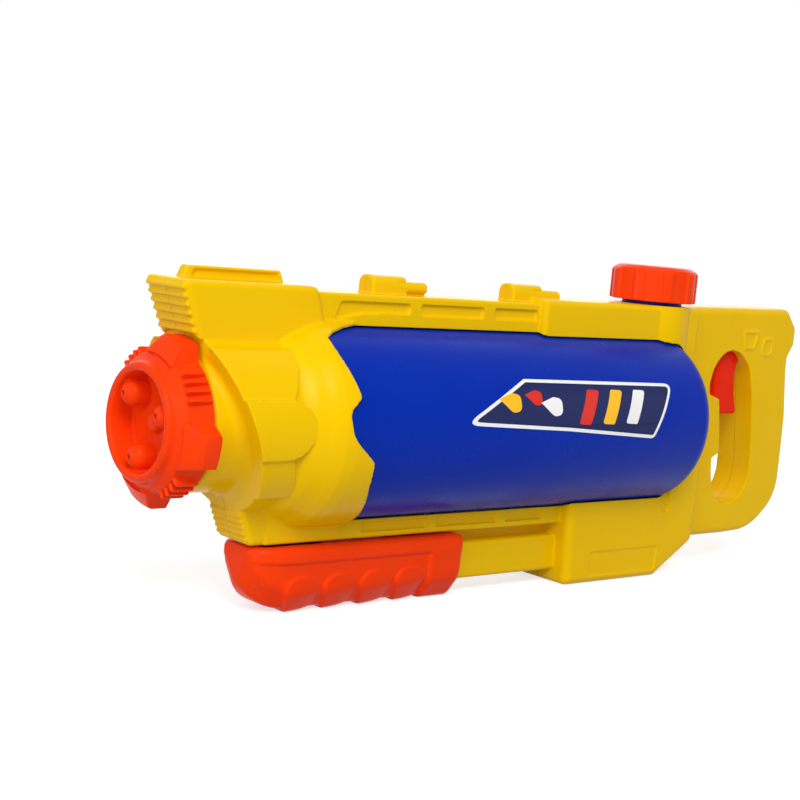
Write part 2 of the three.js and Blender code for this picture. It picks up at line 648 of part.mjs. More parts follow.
// Filler cap: a ribbed skirt under a domed top, with a flat gasket on the neck's mouth.
function fillerCap() {
  const root = CAP_RADIUS - CAP_RIB_DEPTH;
  const ribSteps = [[-0.22, root], [-0.16, CAP_RADIUS], [0.16, CAP_RADIUS], [0.22, root], [0.4, root], [0.6, root]];
  const star = Array.from({ length: CAP_RIBS }, (_, i) => ribSteps.map(([step, radius]) => {
    const angle = (2 * Math.PI * (i + step)) / CAP_RIBS;
    return new THREE.Vector2(radius * Math.cos(angle), radius * Math.sin(angle));
  })).flat();
  const height = capInner + CAP_TOP - capFoot;
  const ribbed = new THREE.ExtrudeGeometry(new THREE.Shape(star), { depth: height, bevelEnabled: false });
  const envelope = turnedUp([
    [capFoot, 0], [capFoot, CAP_RADIUS - 0.8], [capFoot + 0.8, CAP_RADIUS + FIT], [capInner - 1, CAP_RADIUS + FIT],
    [capInner + 1, root], [capInner + CAP_TOP - 0.4, root - 2.5], [capInner + CAP_TOP, root - 5], [capInner + CAP_TOP, 0],
  ], neckX, 24);
  const inside = turnedUp(rod(capFoot - WALL, capInner, NECK_RADIUS + 2 * FIT), neckX, 24);
  return toSolid(ribbed.translate(nose + neckX, 0, capFoot)).intersect(envelope).subtract(inside);
}

// Turning head: a cup with three domed outlets on its floor, finger lugs and ribbed zones round it.
const LUG_ANGLE = 95;
const OUTLET_ANGLE = 8;
const RIB_ANGLE = 35;
const RIBS_PER_ZONE = 4;
const lugSpread = 19;
const ribSpread = 9.5;
const floorBack = RECESS_DEPTH + FLOOR_THICKNESS;
const manifoldRadius = 24;

// A point round the head's axis, with the angle counted from the left side upwards.
function roundAxis(radius, degrees) {
  const angle = THREE.MathUtils.degToRad(degrees);
  return [-radius * Math.cos(angle), axisZ + radius * Math.sin(angle)];
}

function sector(low, high, middle, spread) {
  const angles = [-1, 0, 1].map((k) => middle + k * spread);
  return [...angles.map((a) => roundAxis(high, a)), ...angles.toReversed().map((a) => roundAxis(low, a))];
}

function eachOutlet(first, make) {
  return Array.from({ length: OUTLETS }, (_, i) => make(first + (360 / OUTLETS) * i));
}

function nozzleHead() {
  const shell = turnedAlong([
    [RECESS_DEPTH, 0], [RECESS_DEPTH, HEAD_RIM - 4.5], [1, HEAD_RIM - 3.4], [0, HEAD_RIM - 2], [0, HEAD_RIM - 0.6],
    [1.5, HEAD_RIM + 0.6], [5, HEAD_RIM + 1.4], [8.5, HEAD_RADIUS - 1.6], [10, HEAD_RADIUS - 1],
    [HEAD_LENGTH, HEAD_RADIUS], [HEAD_LENGTH, NECK_TUBE + 2 * FIT], [headTubeFront - 2, NECK_TUBE + 2 * FIT],
    [headTubeFront - 2, manifoldRadius + 2 * FIT], [floorBack, manifoldRadius + 2 * FIT], [floorBack, 0],
  ], ROUND_SIDES);
  const envelope = turnedAlong([
    [4, 0], [4, HEAD_RIM], [14, LUG_RADIUS - 0.8], [18, LUG_RADIUS], [HEAD_LENGTH, LUG_RADIUS], [HEAD_LENGTH, 0],
  ], ROUND_SIDES);
  const inner = HEAD_RADIUS - 2;
  const lugs = eachOutlet(LUG_ANGLE, (a) => bar(sector(inner, LUG_RADIUS + 1, a, lugSpread), 4, HEAD_LENGTH));
  const ribs = eachOutlet(RIB_ANGLE, (a) => Array.from({ length: RIBS_PER_ZONE }, (_, k) => {
    const angle = a + (k - (RIBS_PER_ZONE - 1) / 2) * ribSpread;
    return bar(sector(inner, HEAD_RADIUS + 2, angle, 1.8), 11, HEAD_LENGTH - 1);
  })).flat();
  const domeTip = 3.5;
  const domes = eachOutlet(OUTLET_ANGLE, (a) => turnedAlong([
    [domeTip, 0], [domeTip, OUTLET_RADIUS * 0.3], [domeTip + 1.8, OUTLET_RADIUS * 0.72],
    [domeTip + 5.5, OUTLET_RADIUS], [floorBack - 1, OUTLET_RADIUS], [floorBack - 1, 0],
  ], 12, ...roundAxis(OUTLET_CIRCLE, a)));
  const jets = eachOutlet(OUTLET_ANGLE, (a) => turnedAlong(rod(-1, floorBack + 1, 1.3), 6, ...roundAxis(OUTLET_CIRCLE, a)));
  const screwRoom = turnedAlong(rod(-1, floorBack + 1, SCREW_RADIUS + FIT), 12);
  const grown = joined([shell, joined([...lugs, ...ribs]).intersect(envelope), ...domes]);
  return grown.subtract(joined([...jets, screwRoom]));
}

// The manifold behind the head: a hollow disc with a port for each outlet, on a stem with a hose spigot.
const manifoldFront = floorBack + FIT + GASKET_THICKNESS + FIT;
const manifoldBack = headTubeFront - 2 * FIT;
const stemEnd = headTubeEnd + 4;
const hoseDrop = 15;
const hoseX = stemEnd - 4;

function nozzleManifold() {
  const stemBore = SPIGOT_RADIUS + 1;
  const outside = turnedAlong([
    [manifoldFront, 0], [manifoldFront, manifoldRadius], [manifoldBack, manifoldRadius], [manifoldBack, stemRadius],
    [stemEnd, stemRadius], [stemEnd, 0],
  ], 20);
  const spigot = turnedUp(rod(axisZ - hoseDrop, axisZ, SPIGOT_RADIUS), hoseX, 12);
  const chamber = turnedAlong([
    [manifoldFront + 1.8, 0], [manifoldFront + 1.8, manifoldRadius - 3], [manifoldBack - 1.8, manifoldRadius - 3],
    [manifoldBack - 1.8, stemBore], [hoseX + 2, stemBore], [hoseX + 2, 0],
  ], 20);
  const drop = turnedUp(rod(axisZ - hoseDrop - 1, axisZ, SPIGOT_RADIUS / 2), hoseX, 8);
  const ports = eachOutlet(OUTLET_ANGLE, (a) => turnedAlong(
    rod(manifoldFront - 1, manifoldFront + 3, 2), 6, ...roundAxis(OUTLET_CIRCLE, a)));
  const post = turnedAlong(rod(manifoldFront + 1, manifoldBack - 1, 2 * SCREW_RADIUS), 12);
  const pilot = turnedAlong(rod(manifoldFront - 1, manifoldFront + 5, SCREW_RADIUS + SEAM), 12);
  return outside.add(spigot).subtract(joined([chamber, drop, ...ports])).add(post).subtract(pilot);
}

function nozzleGasket() {
  const from = floorBack + FIT;
  const disc = turnedAlong(tube(from, from + GASKET_THICKNESS, manifoldRadius - 1, 3 * SCREW_RADIUS), 18);
  const ports = eachOutlet(OUTLET_ANGLE, (a) => turnedAlong(rod(from - 1, from + 3, 2.4), 6, ...roundAxis(OUTLET_CIRCLE, a)));
  return disc.subtract(joined(ports));
}

const headScrewFront = RECESS_DEPTH - 2.5;
const headScrew = [
  [headScrewFront, 0], [headScrewFront, SCREW_HEAD - 1], [headScrewFront + 1, SCREW_HEAD],
  [RECESS_DEPTH - SEAM, SCREW_HEAD], [RECESS_DEPTH - SEAM, SCREW_RADIUS], [manifoldFront + 4, SCREW_RADIUS], [manifoldFront + 4, 0],
];

// Pump grip: a trough with finger lobes that wraps the rail and slides along it.
const lobeStart = GRIP_START + 20;
const lobeFoot = 9;
function gripSection(half, top) {
  return [
    [-lobeFoot, 0, 4], [lobeFoot, 0, 4], [half - 3.5, 8, 8], [half - 1, 22, 6], [half - 1, top, 5], [1 - half, top, 5],
    [1 - half, 22, 6], [3.5 - half, 8, 8],
  ];
}

function pumpGrip() {
  const gripEnd = GRIP_START + GRIP_LENGTH;
  const flangeFoot = 23;
  const core = gripSection(GRIP_HALF - 2.5, GRIP_TOP - 4).map(([y, z, r]) => [y, Math.max(z, 2.5), r]);
  const flange = [
    [-GRIP_HALF, flangeFoot, 3], [GRIP_HALF, flangeFoot, 3], [GRIP_HALF - 1, GRIP_TOP, 6], [1 - GRIP_HALF, GRIP_TOP, 6],
  ];
  const lobes = Array.from({ length: LOBES }, (_, i) => {
    const from = lobeStart + LOBE_PITCH * i;
    return bar(gripSection(GRIP_HALF, GRIP_TOP - 6), from, from + LOBE_PITCH, 3.2, 6);
  });
  const noseLobe = bar(gripSection(GRIP_HALF, GRIP_TOP - 6), GRIP_START + 2, lobeStart, 3.6, 9);
  const tail = bar(gripSection(GRIP_HALF - 0.5, GRIP_TOP - 6), lobeStart + LOBE_PITCH * LOBES, gripEnd, 2.5, 3);
  const noseRound = new THREE.CylinderGeometry(GRIP_HALF * 1.2, GRIP_HALF * 1.2, 80, 32).rotateX(Math.PI / 2);
  const plan = toSolid(noseRound.translate(nose + GRIP_START + GRIP_HALF * 1.2, 0, 20))
    .add(bar([[-30, -30], [30, -30], [30, 60], [-30, 60]], GRIP_START + GRIP_HALF * 1.2, gripEnd + 5));
  const outside = joined([
    bar(core, GRIP_START + 4, gripEnd - 2, 2, 3), bar(flange, GRIP_START, gripEnd, 2, 2), ...lobes, noseLobe, tail,
  ]).intersect(plan);
  const half = PUMP_RAIL_HALF + FIT;
  const trough = bar([
    [-half, pumpRailFoot - FIT, 2], [half, pumpRailFoot - FIT, 2], [half, pumpRailTop + FIT, 2], [-half, pumpRailTop + FIT, 2],
  ], noseEnd, gripEnd + 5);
  const mouth = bar([[-8, PUMP_Z], [8, PUMP_Z], [8, GRIP_TOP + 5], [-8, GRIP_TOP + 5]], noseEnd, gripEnd + 5);
  const scoop = bar([
    [-half, 20, 3], [half, 20, 3], [half, GRIP_TOP + 5], [-half, GRIP_TOP + 5],
  ], GRIP_START + 5, noseEnd + 25);
  const rodHole = turnedAlong(rod(GRIP_START + 15, gripEnd, ROD_RADIUS + SEAM), 16, 0, PUMP_Z);
  const nutRoom = turnedAlong(rod(GRIP_START + 5, GRIP_START + 15, 5 + FIT), 6, 0, PUMP_Z);
  return outside.subtract(joined([trough, mouth, scoop, rodHole, nutRoom]));
}

// Pump: a rod fixed in the grip drives a sealed piston along a cylinder inside the rail.
const cylinderStart = railStart + 8 + FIT;
const cylinderEnd = cylinderStart + CYLINDER_LENGTH;
const pistonStart = cylinderStart + 8;
const pistonEnd = pistonStart + PISTON_LENGTH;
const grooveDepth = 1.4;
const checkEnd = cylinderEnd + FIT + 18;
const rodFront = GRIP_START + 11;
const nutBore = (ROD_RADIUS + SEAM) / Math.cos(Math.PI / 6);

function pumpPiston() {
  const radius = CYLINDER_BORE - FIT;
  const middle = (pistonStart + pistonEnd) / 2;
  return turnedAlong([
    [pistonStart, ROD_RADIUS + SEAM], [pistonStart, radius], [middle - 1.4, radius], [middle - 1.4, radius - grooveDepth],
    [middle + 1.4, radius - grooveDepth], [middle + 1.4, radius], [pistonEnd, radius], [pistonEnd, ROD_RADIUS + SEAM],
    [pistonStart, ROD_RADIUS + SEAM],
  ], 16, 0, PUMP_Z);
}

function rodBush() {
  const plug = bar(pumpRailSection(WALL + SEAM, 1), railStart, railStart + 8);
  return plug.subtract(turnedAlong(rod(railStart - 1, railStart + 9, ROD_RADIUS + SEAM), 16, 0, PUMP_Z));
}

const checkValve = [
  [cylinderEnd + FIT, 1.5], [cylinderEnd + FIT, CYLINDER_RADIUS], [checkEnd - 4, CYLINDER_RADIUS],
  [checkEnd, SPIGOT_RADIUS], [checkEnd + 7, SPIGOT_RADIUS], [checkEnd + 7, 1], [checkEnd - 3, 1], [checkEnd - 6, 4.4],
  [cylinderEnd + FIT + 2, 4.4], [cylinderEnd + FIT + 2, 1.5], [cylinderEnd + FIT, 1.5],
];
const flapValve = [
  [cylinderEnd + 2 + 2 * FIT, 2], [cylinderEnd + 2 + 2 * FIT, 4], [cylinderEnd + 5, 4], [cylinderEnd + 8, 1.6],
  [cylinderEnd + 8, 0.8], [cylinderEnd + 5, 2], [cylinderEnd + 2 + 2 * FIT, 2],
];

// Valve: a plunger in an upright barrel behind the tank, pushed down by the trigger's rod.
const valveTop = valveFoot + VALVE_HEIGHT;
const inletZ = valveFoot + 6;
const outletZ = valveFoot + 20;
const plungerFoot = valveFoot + 17;
const plungerTop = plungerFoot + 14;
const plungerTravel = PIVOT_BEHIND_ROD * Math.sin(THREE.MathUtils.degToRad(TRIGGER_TURN));
const plungerSealZ = plungerTop - 2.8;
const rodSeat = plungerTop - 3;
const springFoot = valveFoot + 2.6;

function valveBody() {
  const reach = VALVE_RADIUS + 4;
  const barrel = turnedUp(rod(valveFoot, valveTop, VALVE_RADIUS), linkX, 16);
  const bore = turnedUp(rod(valveFoot + 2, valveTop + 1, VALVE_BORE), linkX, 16);
  const spigot = (z) => turnedAlong(rod(linkX - reach, linkX, SPIGOT_RADIUS), 12, 0, z);
  const port = (z) => turnedAlong(rod(linkX - reach - 1, linkX, SPIGOT_RADIUS / 2), 8, 0, z);
  return joined([barrel, spigot(inletZ), spigot(outletZ)]).subtract(joined([bore, port(inletZ), port(outletZ)]));
}

// Water rises through the plunger to a cross hole, which meets the outlet when the plunger is pushed down.
function valvePlunger() {
  const radius = VALVE_BORE - FIT;
  const crossZ = outletZ + plungerTravel;
  const spool = turnedUp([
    [plungerFoot, 0], [plungerFoot, radius], [plungerSealZ - 1.2, radius], [plungerSealZ - 1.2, radius - grooveDepth],
    [plungerSealZ + 1.2, radius - grooveDepth], [plungerSealZ + 1.2, radius], [plungerTop, radius],
    [plungerTop, LINK_RADIUS + SEAM], [rodSeat, LINK_RADIUS + SEAM], [rodSeat, 0],
  ], linkX, 16);
  const rise = turnedUp(rod(plungerFoot - 1, crossZ + 0.5, SPIGOT_RADIUS / 2), linkX, 8);
  const cross = turnedAlong(rod(linkX - VALVE_RADIUS, linkX, SPIGOT_RADIUS / 2), 8, 0, crossZ);
  return spool.subtract(rise.add(cross));
}

// Trigger: a finger blade under a hub, with an arm reaching forward over the push rod.
const armHalf = 3;
const armFoot = pivotZ - 2.5;
function trigger() {
  const blade = plate([
    [pivotX - 17, openingTop + 1, 4], [pivotX - 21, axisZ + 24, 20], [pivotX - 19, triggerFoot, 3],
    [pivotX + 11, triggerFoot, 1], [pivotX + 7, pivotZ - 4, 3], [pivotX, pivotZ + 5, 4], [pivotX - 6, pivotZ + 4, 4],
  ], TRIGGER_HALF, 1.5);
  const arm = plate([
    [linkX - 3, armFoot, 1], [pivotX, armFoot, 1], [pivotX, pivotZ + 4, 1], [linkX - 3, pivotZ + 2, 1],
  ], armHalf);
  const hole = turnedAcross(rod(-TRIGGER_HALF - 1, TRIGGER_HALF + 1, PIN_RADIUS + FIT / 2), pivotX, pivotZ, 16);
  return blade.add(arm).subtract(hole);
}

const linkTop = armFoot - SEAM;

bodyShells();
piece('pressure_tank', pressureTank(), BLUE);
piece('filler_cap', fillerCap(), ORANGE);
piece('cap_gasket', turnedUp(tube(neckTop + FIT, neckTop + FIT + GASKET_THICKNESS, NECK_RADIUS, NECK_BORE), neckX, 24), RUBBER);
piece('nozzle_head', nozzleHead(), ORANGE);
piece('nozzle_gasket', nozzleGasket(), RUBBER);
piece('nozzle_manifold', nozzleManifold(), NATURAL);
piece('nozzle_screw', turnedAlong(headScrew, 12), STEEL);
piece('pump_grip', pumpGrip(), ORANGE);
piece('pump_rod', turnedAlong(rod(rodFront, pistonEnd + 3, ROD_RADIUS), 14, 0, PUMP_Z), STEEL);
piece('rod_nut', turnedAlong(tube(rodFront + 0.5, rodFront + 3.6, 5, nutBore), 6, 0, PUMP_Z), STEEL);
piece('pump_piston', pumpPiston(), NATURAL);
piece('piston_seal', turnedAlong(ring((pistonStart + pistonEnd) / 2, CYLINDER_BORE - FIT - 0.4, 0.7), 16, 0, PUMP_Z), RUBBER);
piece('pump_cylinder', turnedAlong(tube(cylinderStart, cylinderEnd, CYLINDER_RADIUS, CYLINDER_BORE), 24, 0, PUMP_Z), NATURAL);
piece('rod_bush', rodBush(), NATURAL);
piece('check_valve', turnedAlong(checkValve, 16, 0, PUMP_Z), NATURAL);
piece('flap_valve', turnedAlong(flapValve, 12, 0, PUMP_Z), RUBBER);
piece('valve_body', valveBody(), NATURAL);
piece('valve_plunger', valvePlunger(), NATURAL);
piece('plunger_seal', turnedUp(ring(plungerSealZ, VALVE_BORE - FIT - 0.4, 0.6), linkX, 14), RUBBER);
piece('trigger_rod', turnedUp(rod(rodSeat + SEAM, linkTop, LINK_RADIUS), linkX, 10), STEEL);
piece('trigger', trigger(), RED);
piece('trigger_pin', turnedAcross(rod(WALL + FIT - HANDLE_HALF, HANDLE_HALF - WALL - FIT, PIN_RADIUS), pivotX, pivotZ, 14), STEEL);

// A spring under the plunger returns the plunger, its rod and the trigger.
const up = new THREE.Vector3(0, 0, 1);
const back = new THREE.Vector3(1, 0, 0);
const springWire = 0.5;
piece('valve_spring', spring(
  new THREE.Vector3(nose + linkX, 0, springFoot + springWire), up, back, VALVE_BORE - 1.6, springWire, 5,
  plungerFoot - springFoot - 3 * springWire), STEEL);

// Hoses: air from the pump to the tank, water from the tank to the valve and on to the head.
// Each runs straight off its spigots, and the delivery hose swings aside past the air hose.
const hoseGap = 1;
const hoseLead = 6;
const hoseSwing = 9;
const mid = (a, b) => (a + b) / 2;
const airEnd = checkEnd + hoseGap;
const valveEnd = linkX - VALVE_RADIUS - hoseGap;
const tankExit = tankFoot - hoseGap;
const runZ = mid(LOWER_Z + WALL, tankFoot);
const sagZ = runZ - 4;
piece('air_hose', hose([
  [airEnd, 0, PUMP_Z], [airEnd + hoseLead, 0, PUMP_Z],
  [mid(airEnd, AIR_SPIGOT.x) + hoseLead, AIR_SPIGOT.y / 3, PUMP_Z + 2],
  [AIR_SPIGOT.x - 1, AIR_SPIGOT.y - 1, mid(PUMP_Z, tankExit - hoseLead)],
  [AIR_SPIGOT.x, AIR_SPIGOT.y, tankExit - hoseLead], [AIR_SPIGOT.x, AIR_SPIGOT.y, tankExit],
], 10), VINYL);
piece('supply_hose', hose([
  [WATER_SPIGOT.x, 0, tankExit], [WATER_SPIGOT.x, 0, tankExit - hoseLead],
  [WATER_SPIGOT.x + hoseLead / 2, 0, inletZ + 2], [WATER_SPIGOT.x + 1.5 * hoseLead, 0, inletZ], [valveEnd, 0, inletZ],
], 8), VINYL);
piece('delivery_hose', hose([
  [valveEnd, 0, outletZ], [valveEnd - hoseLead, 0, outletZ], [valveEnd - 2 * hoseLead, 0, outletZ],
  [valveEnd - 3.5 * hoseLead, -0.8 * hoseSwing, mid(outletZ, sagZ)], [valveEnd - 6 * hoseLead, -hoseSwing, sagZ],
  [tankEnd - 10 * hoseLead, -hoseSwing, sagZ], [housingStart + 4 * hoseLead, -hoseSwing / 2, mid(sagZ, runZ)],
  [housingStart + hoseLead, 0, runZ], [mid(housingStart, TANK_START), 0, runZ],
  [TANK_START + 3 * hoseLead, 0, runZ], [TANK_START, 0, runZ + 0.3],
  [hoseX + 2 * hoseLead, 0, runZ + hoseLead], [hoseX + hoseLead / 2, 0, runZ + 3 * hoseLead],
  [hoseX, 0, axisZ - hoseDrop - hoseLead], [hoseX, 0, axisZ - stemRadius - hoseGap],
], 40), VINYL);

export default squirter;
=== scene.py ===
"""Looks of the water squirter: moulded shells, tank, head, grip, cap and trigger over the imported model."""
import json
import logging
import math
from dataclasses import dataclass
from enum import Enum
from typing import Any, Iterable, Optional, Sequence

import bmesh
import bpy
from mathutils import Matrix, Vector

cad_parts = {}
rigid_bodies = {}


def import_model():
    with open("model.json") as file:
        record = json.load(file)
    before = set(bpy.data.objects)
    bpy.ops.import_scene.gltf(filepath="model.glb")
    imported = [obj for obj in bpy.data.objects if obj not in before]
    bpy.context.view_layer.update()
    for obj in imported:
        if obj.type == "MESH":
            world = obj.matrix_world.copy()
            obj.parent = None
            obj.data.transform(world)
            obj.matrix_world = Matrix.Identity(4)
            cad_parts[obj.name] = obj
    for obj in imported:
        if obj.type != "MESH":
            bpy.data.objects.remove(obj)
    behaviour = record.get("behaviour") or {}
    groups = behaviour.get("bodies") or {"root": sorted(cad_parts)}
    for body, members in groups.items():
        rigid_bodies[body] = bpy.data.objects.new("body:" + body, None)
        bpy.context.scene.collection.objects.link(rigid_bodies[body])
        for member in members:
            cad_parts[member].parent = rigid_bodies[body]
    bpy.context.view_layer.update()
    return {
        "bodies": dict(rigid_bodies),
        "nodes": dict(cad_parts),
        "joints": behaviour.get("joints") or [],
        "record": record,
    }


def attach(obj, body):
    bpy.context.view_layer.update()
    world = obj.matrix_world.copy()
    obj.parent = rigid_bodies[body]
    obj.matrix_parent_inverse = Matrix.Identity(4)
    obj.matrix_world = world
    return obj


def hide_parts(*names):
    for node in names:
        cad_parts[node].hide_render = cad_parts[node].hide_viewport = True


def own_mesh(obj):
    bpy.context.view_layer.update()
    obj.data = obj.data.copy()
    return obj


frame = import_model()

LOG = logging.getLogger("squirter")

Point = tuple[float, float]
Corner = tuple[float, ...]
Colour = tuple[float, float, float, float]

# Sizes are millimetres. Stations count back from the head's front rim.
# The frame's middle is at half the length.
MM = 0.001
LENGTH = 461.0
NOSE = -LENGTH / 2
WALL = 2.2
FIT = 0.4
SEAM = 0.3
LOWER_Z = 34.0
AXIS_Z = 90.5
TOP_Z = 154.0
SPINE_TOP = TOP_Z - 1.5
REAR_TOP = TOP_Z + 1
HANDLE_TOP = TOP_Z + 3
HANDLE_FOOT = 19.0
HANDLE_RAKE = 0.16

# Fineness of the shapes
CORNER_STEPS = 8
CORNER_SHARE = 0.49
EDGE_STEPS = 5
BOW_STEPS = 10
ROUND_SIDES = 128
SMALL_SIDES = 40


class Join(Enum):
    """How one solid meets another."""

    ADD = "UNION"
    CUT = "DIFFERENCE"
    KEEP = "INTERSECT"


class Rides(Enum):
    """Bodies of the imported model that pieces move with."""

    BODY = "body"
    NOZZLE = "nozzle"
    PUMP = "pump"
    TRIGGER = "trigger_lever"
    CAP = "cap"


def linear(colour: str) -> Colour:
    """Turn an sRGB hex colour into linear light.

    Args:
        colour: six hex digits after a hash sign.

    Returns:
        Linear red, green and blue, and full opacity.
    """
    parts = [int(colour[i:i + 2], 16) / 255 for i in (1, 3, 5)]
    red, green, blue = (p / 12.92 if p <= 0.04045 else ((p + 0.055) / 1.055) ** 2.4 for p in parts)
    return red, green, blue, 1.0


def node(tree: bpy.types.NodeTree, kind: str, links: Optional[dict] = None,
         **settings: Any) -> bpy.types.Node:
    """Add a node with its settings and links.

    Args:
        tree: node tree that takes the node.
        kind: node type's identifier.
        links: output sockets by the name or number of the input that they feed.
        settings: values by property name, or by input name with underscores for spaces.

    Returns:
        The new node.
    """
    made = tree.nodes.new(kind)
    for key, value in settings.items():
        if hasattr(made, key):
            setattr(made, key, value)
        else:
            made.inputs[key.replace("_", " ")].default_value = value
    for key, source in (links or {}).items():
        tree.links.new(source, made.inputs[key])
    return made


def rounded(corners: Sequence[Corner]) -> list[Point]:
    """Round an outline's corners.

    Args:
        corners: points with an optional corner radius as third number.

    Returns:
        Points round the closed outline.
    """
    points: list[Point] = []
    for index, corner in enumerate(corners):
        here = Vector(corner[:2])
        radius = corner[2] if len(corner) > 2 else 0.0
        to_last = Vector(corners[index - 1][:2]) - here
        to_next = Vector(corners[(index + 1) % len(corners)][:2]) - here
        half_angle = to_last.angle(to_next) / 2
        room = CORNER_SHARE * min(to_last.length, to_next.length)
        reach = min(radius / math.tan(half_angle), room)
        if reach <= 0:
            points.append((here.x, here.y))
            continue
        start = here + to_last.normalized() * reach
        end = here + to_next.normalized() * reach
        for step in range(CORNER_STEPS + 1):
            t = step / CORNER_STEPS
            spot = start * (1 - t) ** 2 + here * (2 * t * (1 - t)) + end * t ** 2
            points.append((spot.x, spot.y))
    return points


def signed_area(corners: Sequence[Corner]) -> float:
    """Area inside an outline, below zero where it runs clockwise."""
    pairs = zip(corners, [*corners[1:], corners[0]])
    return sum(a[0] * b[1] - b[0] * a[1] for a, b in pairs) / 2


def inset(corners: Sequence[Corner], wall: float) -> list[Corner]:
    """Move an outline inwards by a wall, with the radii that keep the wall even.

    Args:
        corners: points with an optional corner radius as third number.
        wall: distance inwards, or outwards below zero.

    Returns:
        The moved corners, each with a radius.
    """
    least_radius = 0.5
    least_bend = 1e-3
    turn = math.copysign(1, signed_area(corners))
    count = len(corners)
    edges = []
    for index in range(count):
        point = Vector(corners[index][:2])
        along = (Vector(corners[(index + 1) % count][:2]) - point).normalized()
        edges.append((point + Vector((-along.y, along.x)) * turn * wall, along))
    moved: list[Corner] = []
    for index, corner in enumerate(corners):
        first, before = edges[index - 1]
        start, after = edges[index]
        bend = before.cross(after)
        radius = corner[2] if len(corner) > 2 else 0.0
        radius = max(radius - math.copysign(1, bend) * turn * wall, least_radius)
        if abs(bend) > least_bend:
            start = first + before * ((start - first).cross(after) / bend)
        moved.append((start.x, start.y, radius))
    return moved


def raked(x: float, z: float, radius: float = 0.0) -> Corner:
    """A corner of the rear handle, leant back with height."""
    return x + (AXIS_Z - z) * HANDLE_RAKE, z, radius


def rectangle(left: float, low: float, right: float, high: float, radius: float = 0.0) -> list[Corner]:
    """Corners of a rectangle, all with one radius."""
    return [(left, low, radius), (right, low, radius), (right, high, radius), (left, high, radius)]


def quarter(steps: int) -> list[float]:
    """Angles from none to a right angle in even steps."""
    return [math.pi / 2 * step / max(steps, 1) for step in range(steps + 1)]


class Solid:
    """A closed mesh in millimetres that others are joined to, cut from or kept inside."""

    def __init__(self, points: Iterable[Vector], faces: Iterable[Sequence[int]]) -> None:
        """Make the mesh from points and faces, with its faces turned outwards."""
        mesh = bpy.data.meshes.new("solid")
        mesh.from_pydata(list(points), [], list(faces))
        shape = bmesh.new()
        shape.from_mesh(mesh)
        bmesh.ops.remove_doubles(shape, verts=shape.verts, dist=1e-4)
        bmesh.ops.recalc_face_normals(shape, faces=shape.faces)
        shape.to_mesh(mesh)
        shape.free()
        self.thing = bpy.data.objects.new("solid", mesh)
        bpy.context.scene.collection.objects.link(self.thing)

    def copy(self) -> "Solid":
        """A second solid of the same shape."""
        twin = Solid.__new__(Solid)
        twin.thing = self.thing.copy()
        twin.thing.data = self.thing.data.copy()
        bpy.context.scene.collection.objects.link(twin.thing)
        return twin

    def discard(self) -> None:
        """Take the solid's object and mesh out of the file."""
        mesh = self.thing.data
        bpy.data.objects.remove(self.thing)
        bpy.data.meshes.remove(mesh)

    def settle(self) -> "Solid":
        """Turn the solid's modifiers into mesh."""
        graph = bpy.context.evaluated_depsgraph_get()
        mesh = bpy.data.meshes.new_from_object(self.thing.evaluated_get(graph))
        old = self.thing.data
        self.thing.modifiers.clear()
        self.thing.data = mesh
        bpy.data.meshes.remove(old)
        return self

    def meet(self, how: Join, others: Sequence["Solid"]) -> "Solid":
        """Join, cut or keep with other solids, which are used up.

        Args:
            how: what happens where the solids meet.
            others: solids that act on this one in turn.

        Returns:
            This solid.
        """
        for other in others:
            change = self.thing.modifiers.new(how.name, "BOOLEAN")
            change.solver = "MANIFOLD"
            change.operation = how.value
            change.object = other.thing
        self.settle()
        for other in others:
            other.discard()
        return self

    def add(self, *others: "Solid") -> "Solid":
        """Join other solids on."""
        return self.meet(Join.ADD, others)

    def cut(self, *others: "Solid") -> "Solid":
        """Take other solids away."""
        return self.meet(Join.CUT, others)

    def keep(self, *others: "Solid") -> "Solid":
        """Keep what lies inside other solids."""
        return self.meet(Join.KEEP, others)

    def moulded(self, grain: float, softness: int, share: float) -> "Solid":
        """Round every edge a little, as a mould does.

        Args:
            grain: size of the mesh's cells in millimetres.
            softness: rounds of smoothing.
            share: share of the faces that stays where the surface is plain.

        Returns:
            This solid.
        """
        cells = self.thing.modifiers.new("cells", "REMESH")
        cells.mode = "VOXEL"
        cells.voxel_size = grain
        soft = self.thing.modifiers.new("soft", "SMOOTH")
        soft.factor = 0.5
        soft.iterations = softness
        thin = self.thing.modifiers.new("thin", "DECIMATE")
        thin.ratio = share
        return self.settle()

    def piece(self, name: str, finish: "Finish", rides: Rides, replaces: Sequence[str] = (),
              sharp: Optional[float] = None) -> bpy.types.Object:
        """Make the solid a piece of the squirter.

        Args:
            name: piece's name.
            finish: what it is made of.
            rides: body that it moves with.
            replaces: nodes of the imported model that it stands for.
            sharp: angle in degrees above which an edge stays sharp, or none.

        Returns:
            The piece's object.
        """
        mesh = self.thing.data
        mesh.transform(Matrix.Scale(MM, 4))
        mesh.shade_smooth()
        if sharp is not None:
            mesh.set_sharp_from_angle(angle=math.radians(sharp))
        self.thing.name = name
        mesh.name = name
        mesh.materials.clear()
        mesh.materials.append(finish.material())
        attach(self.thing, rides.value)
        if replaces:
            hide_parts(*replaces)
        LOG.info("%s: %d faces, rides on %s", name, len(mesh.polygons), rides.value)
        return self.thing


def loft(rings: Sequence[Sequence[Vector]]) -> Solid:
    """A solid through rings of points, closed by the first and the last."""
    count = len(rings[0])
    faces: list[Sequence[int]] = []
    for level in range(len(rings) - 1):
        for index in range(count):
            a = level * count + index
            b = level * count + (index + 1) % count
            faces.append((a, b, b + count, a + count))
    last = (len(rings) - 1) * count
    faces.append(tuple(range(count)))
    faces.append(tuple(range(last, last + count)))
    return Solid([point for ring in rings for point in ring], faces)


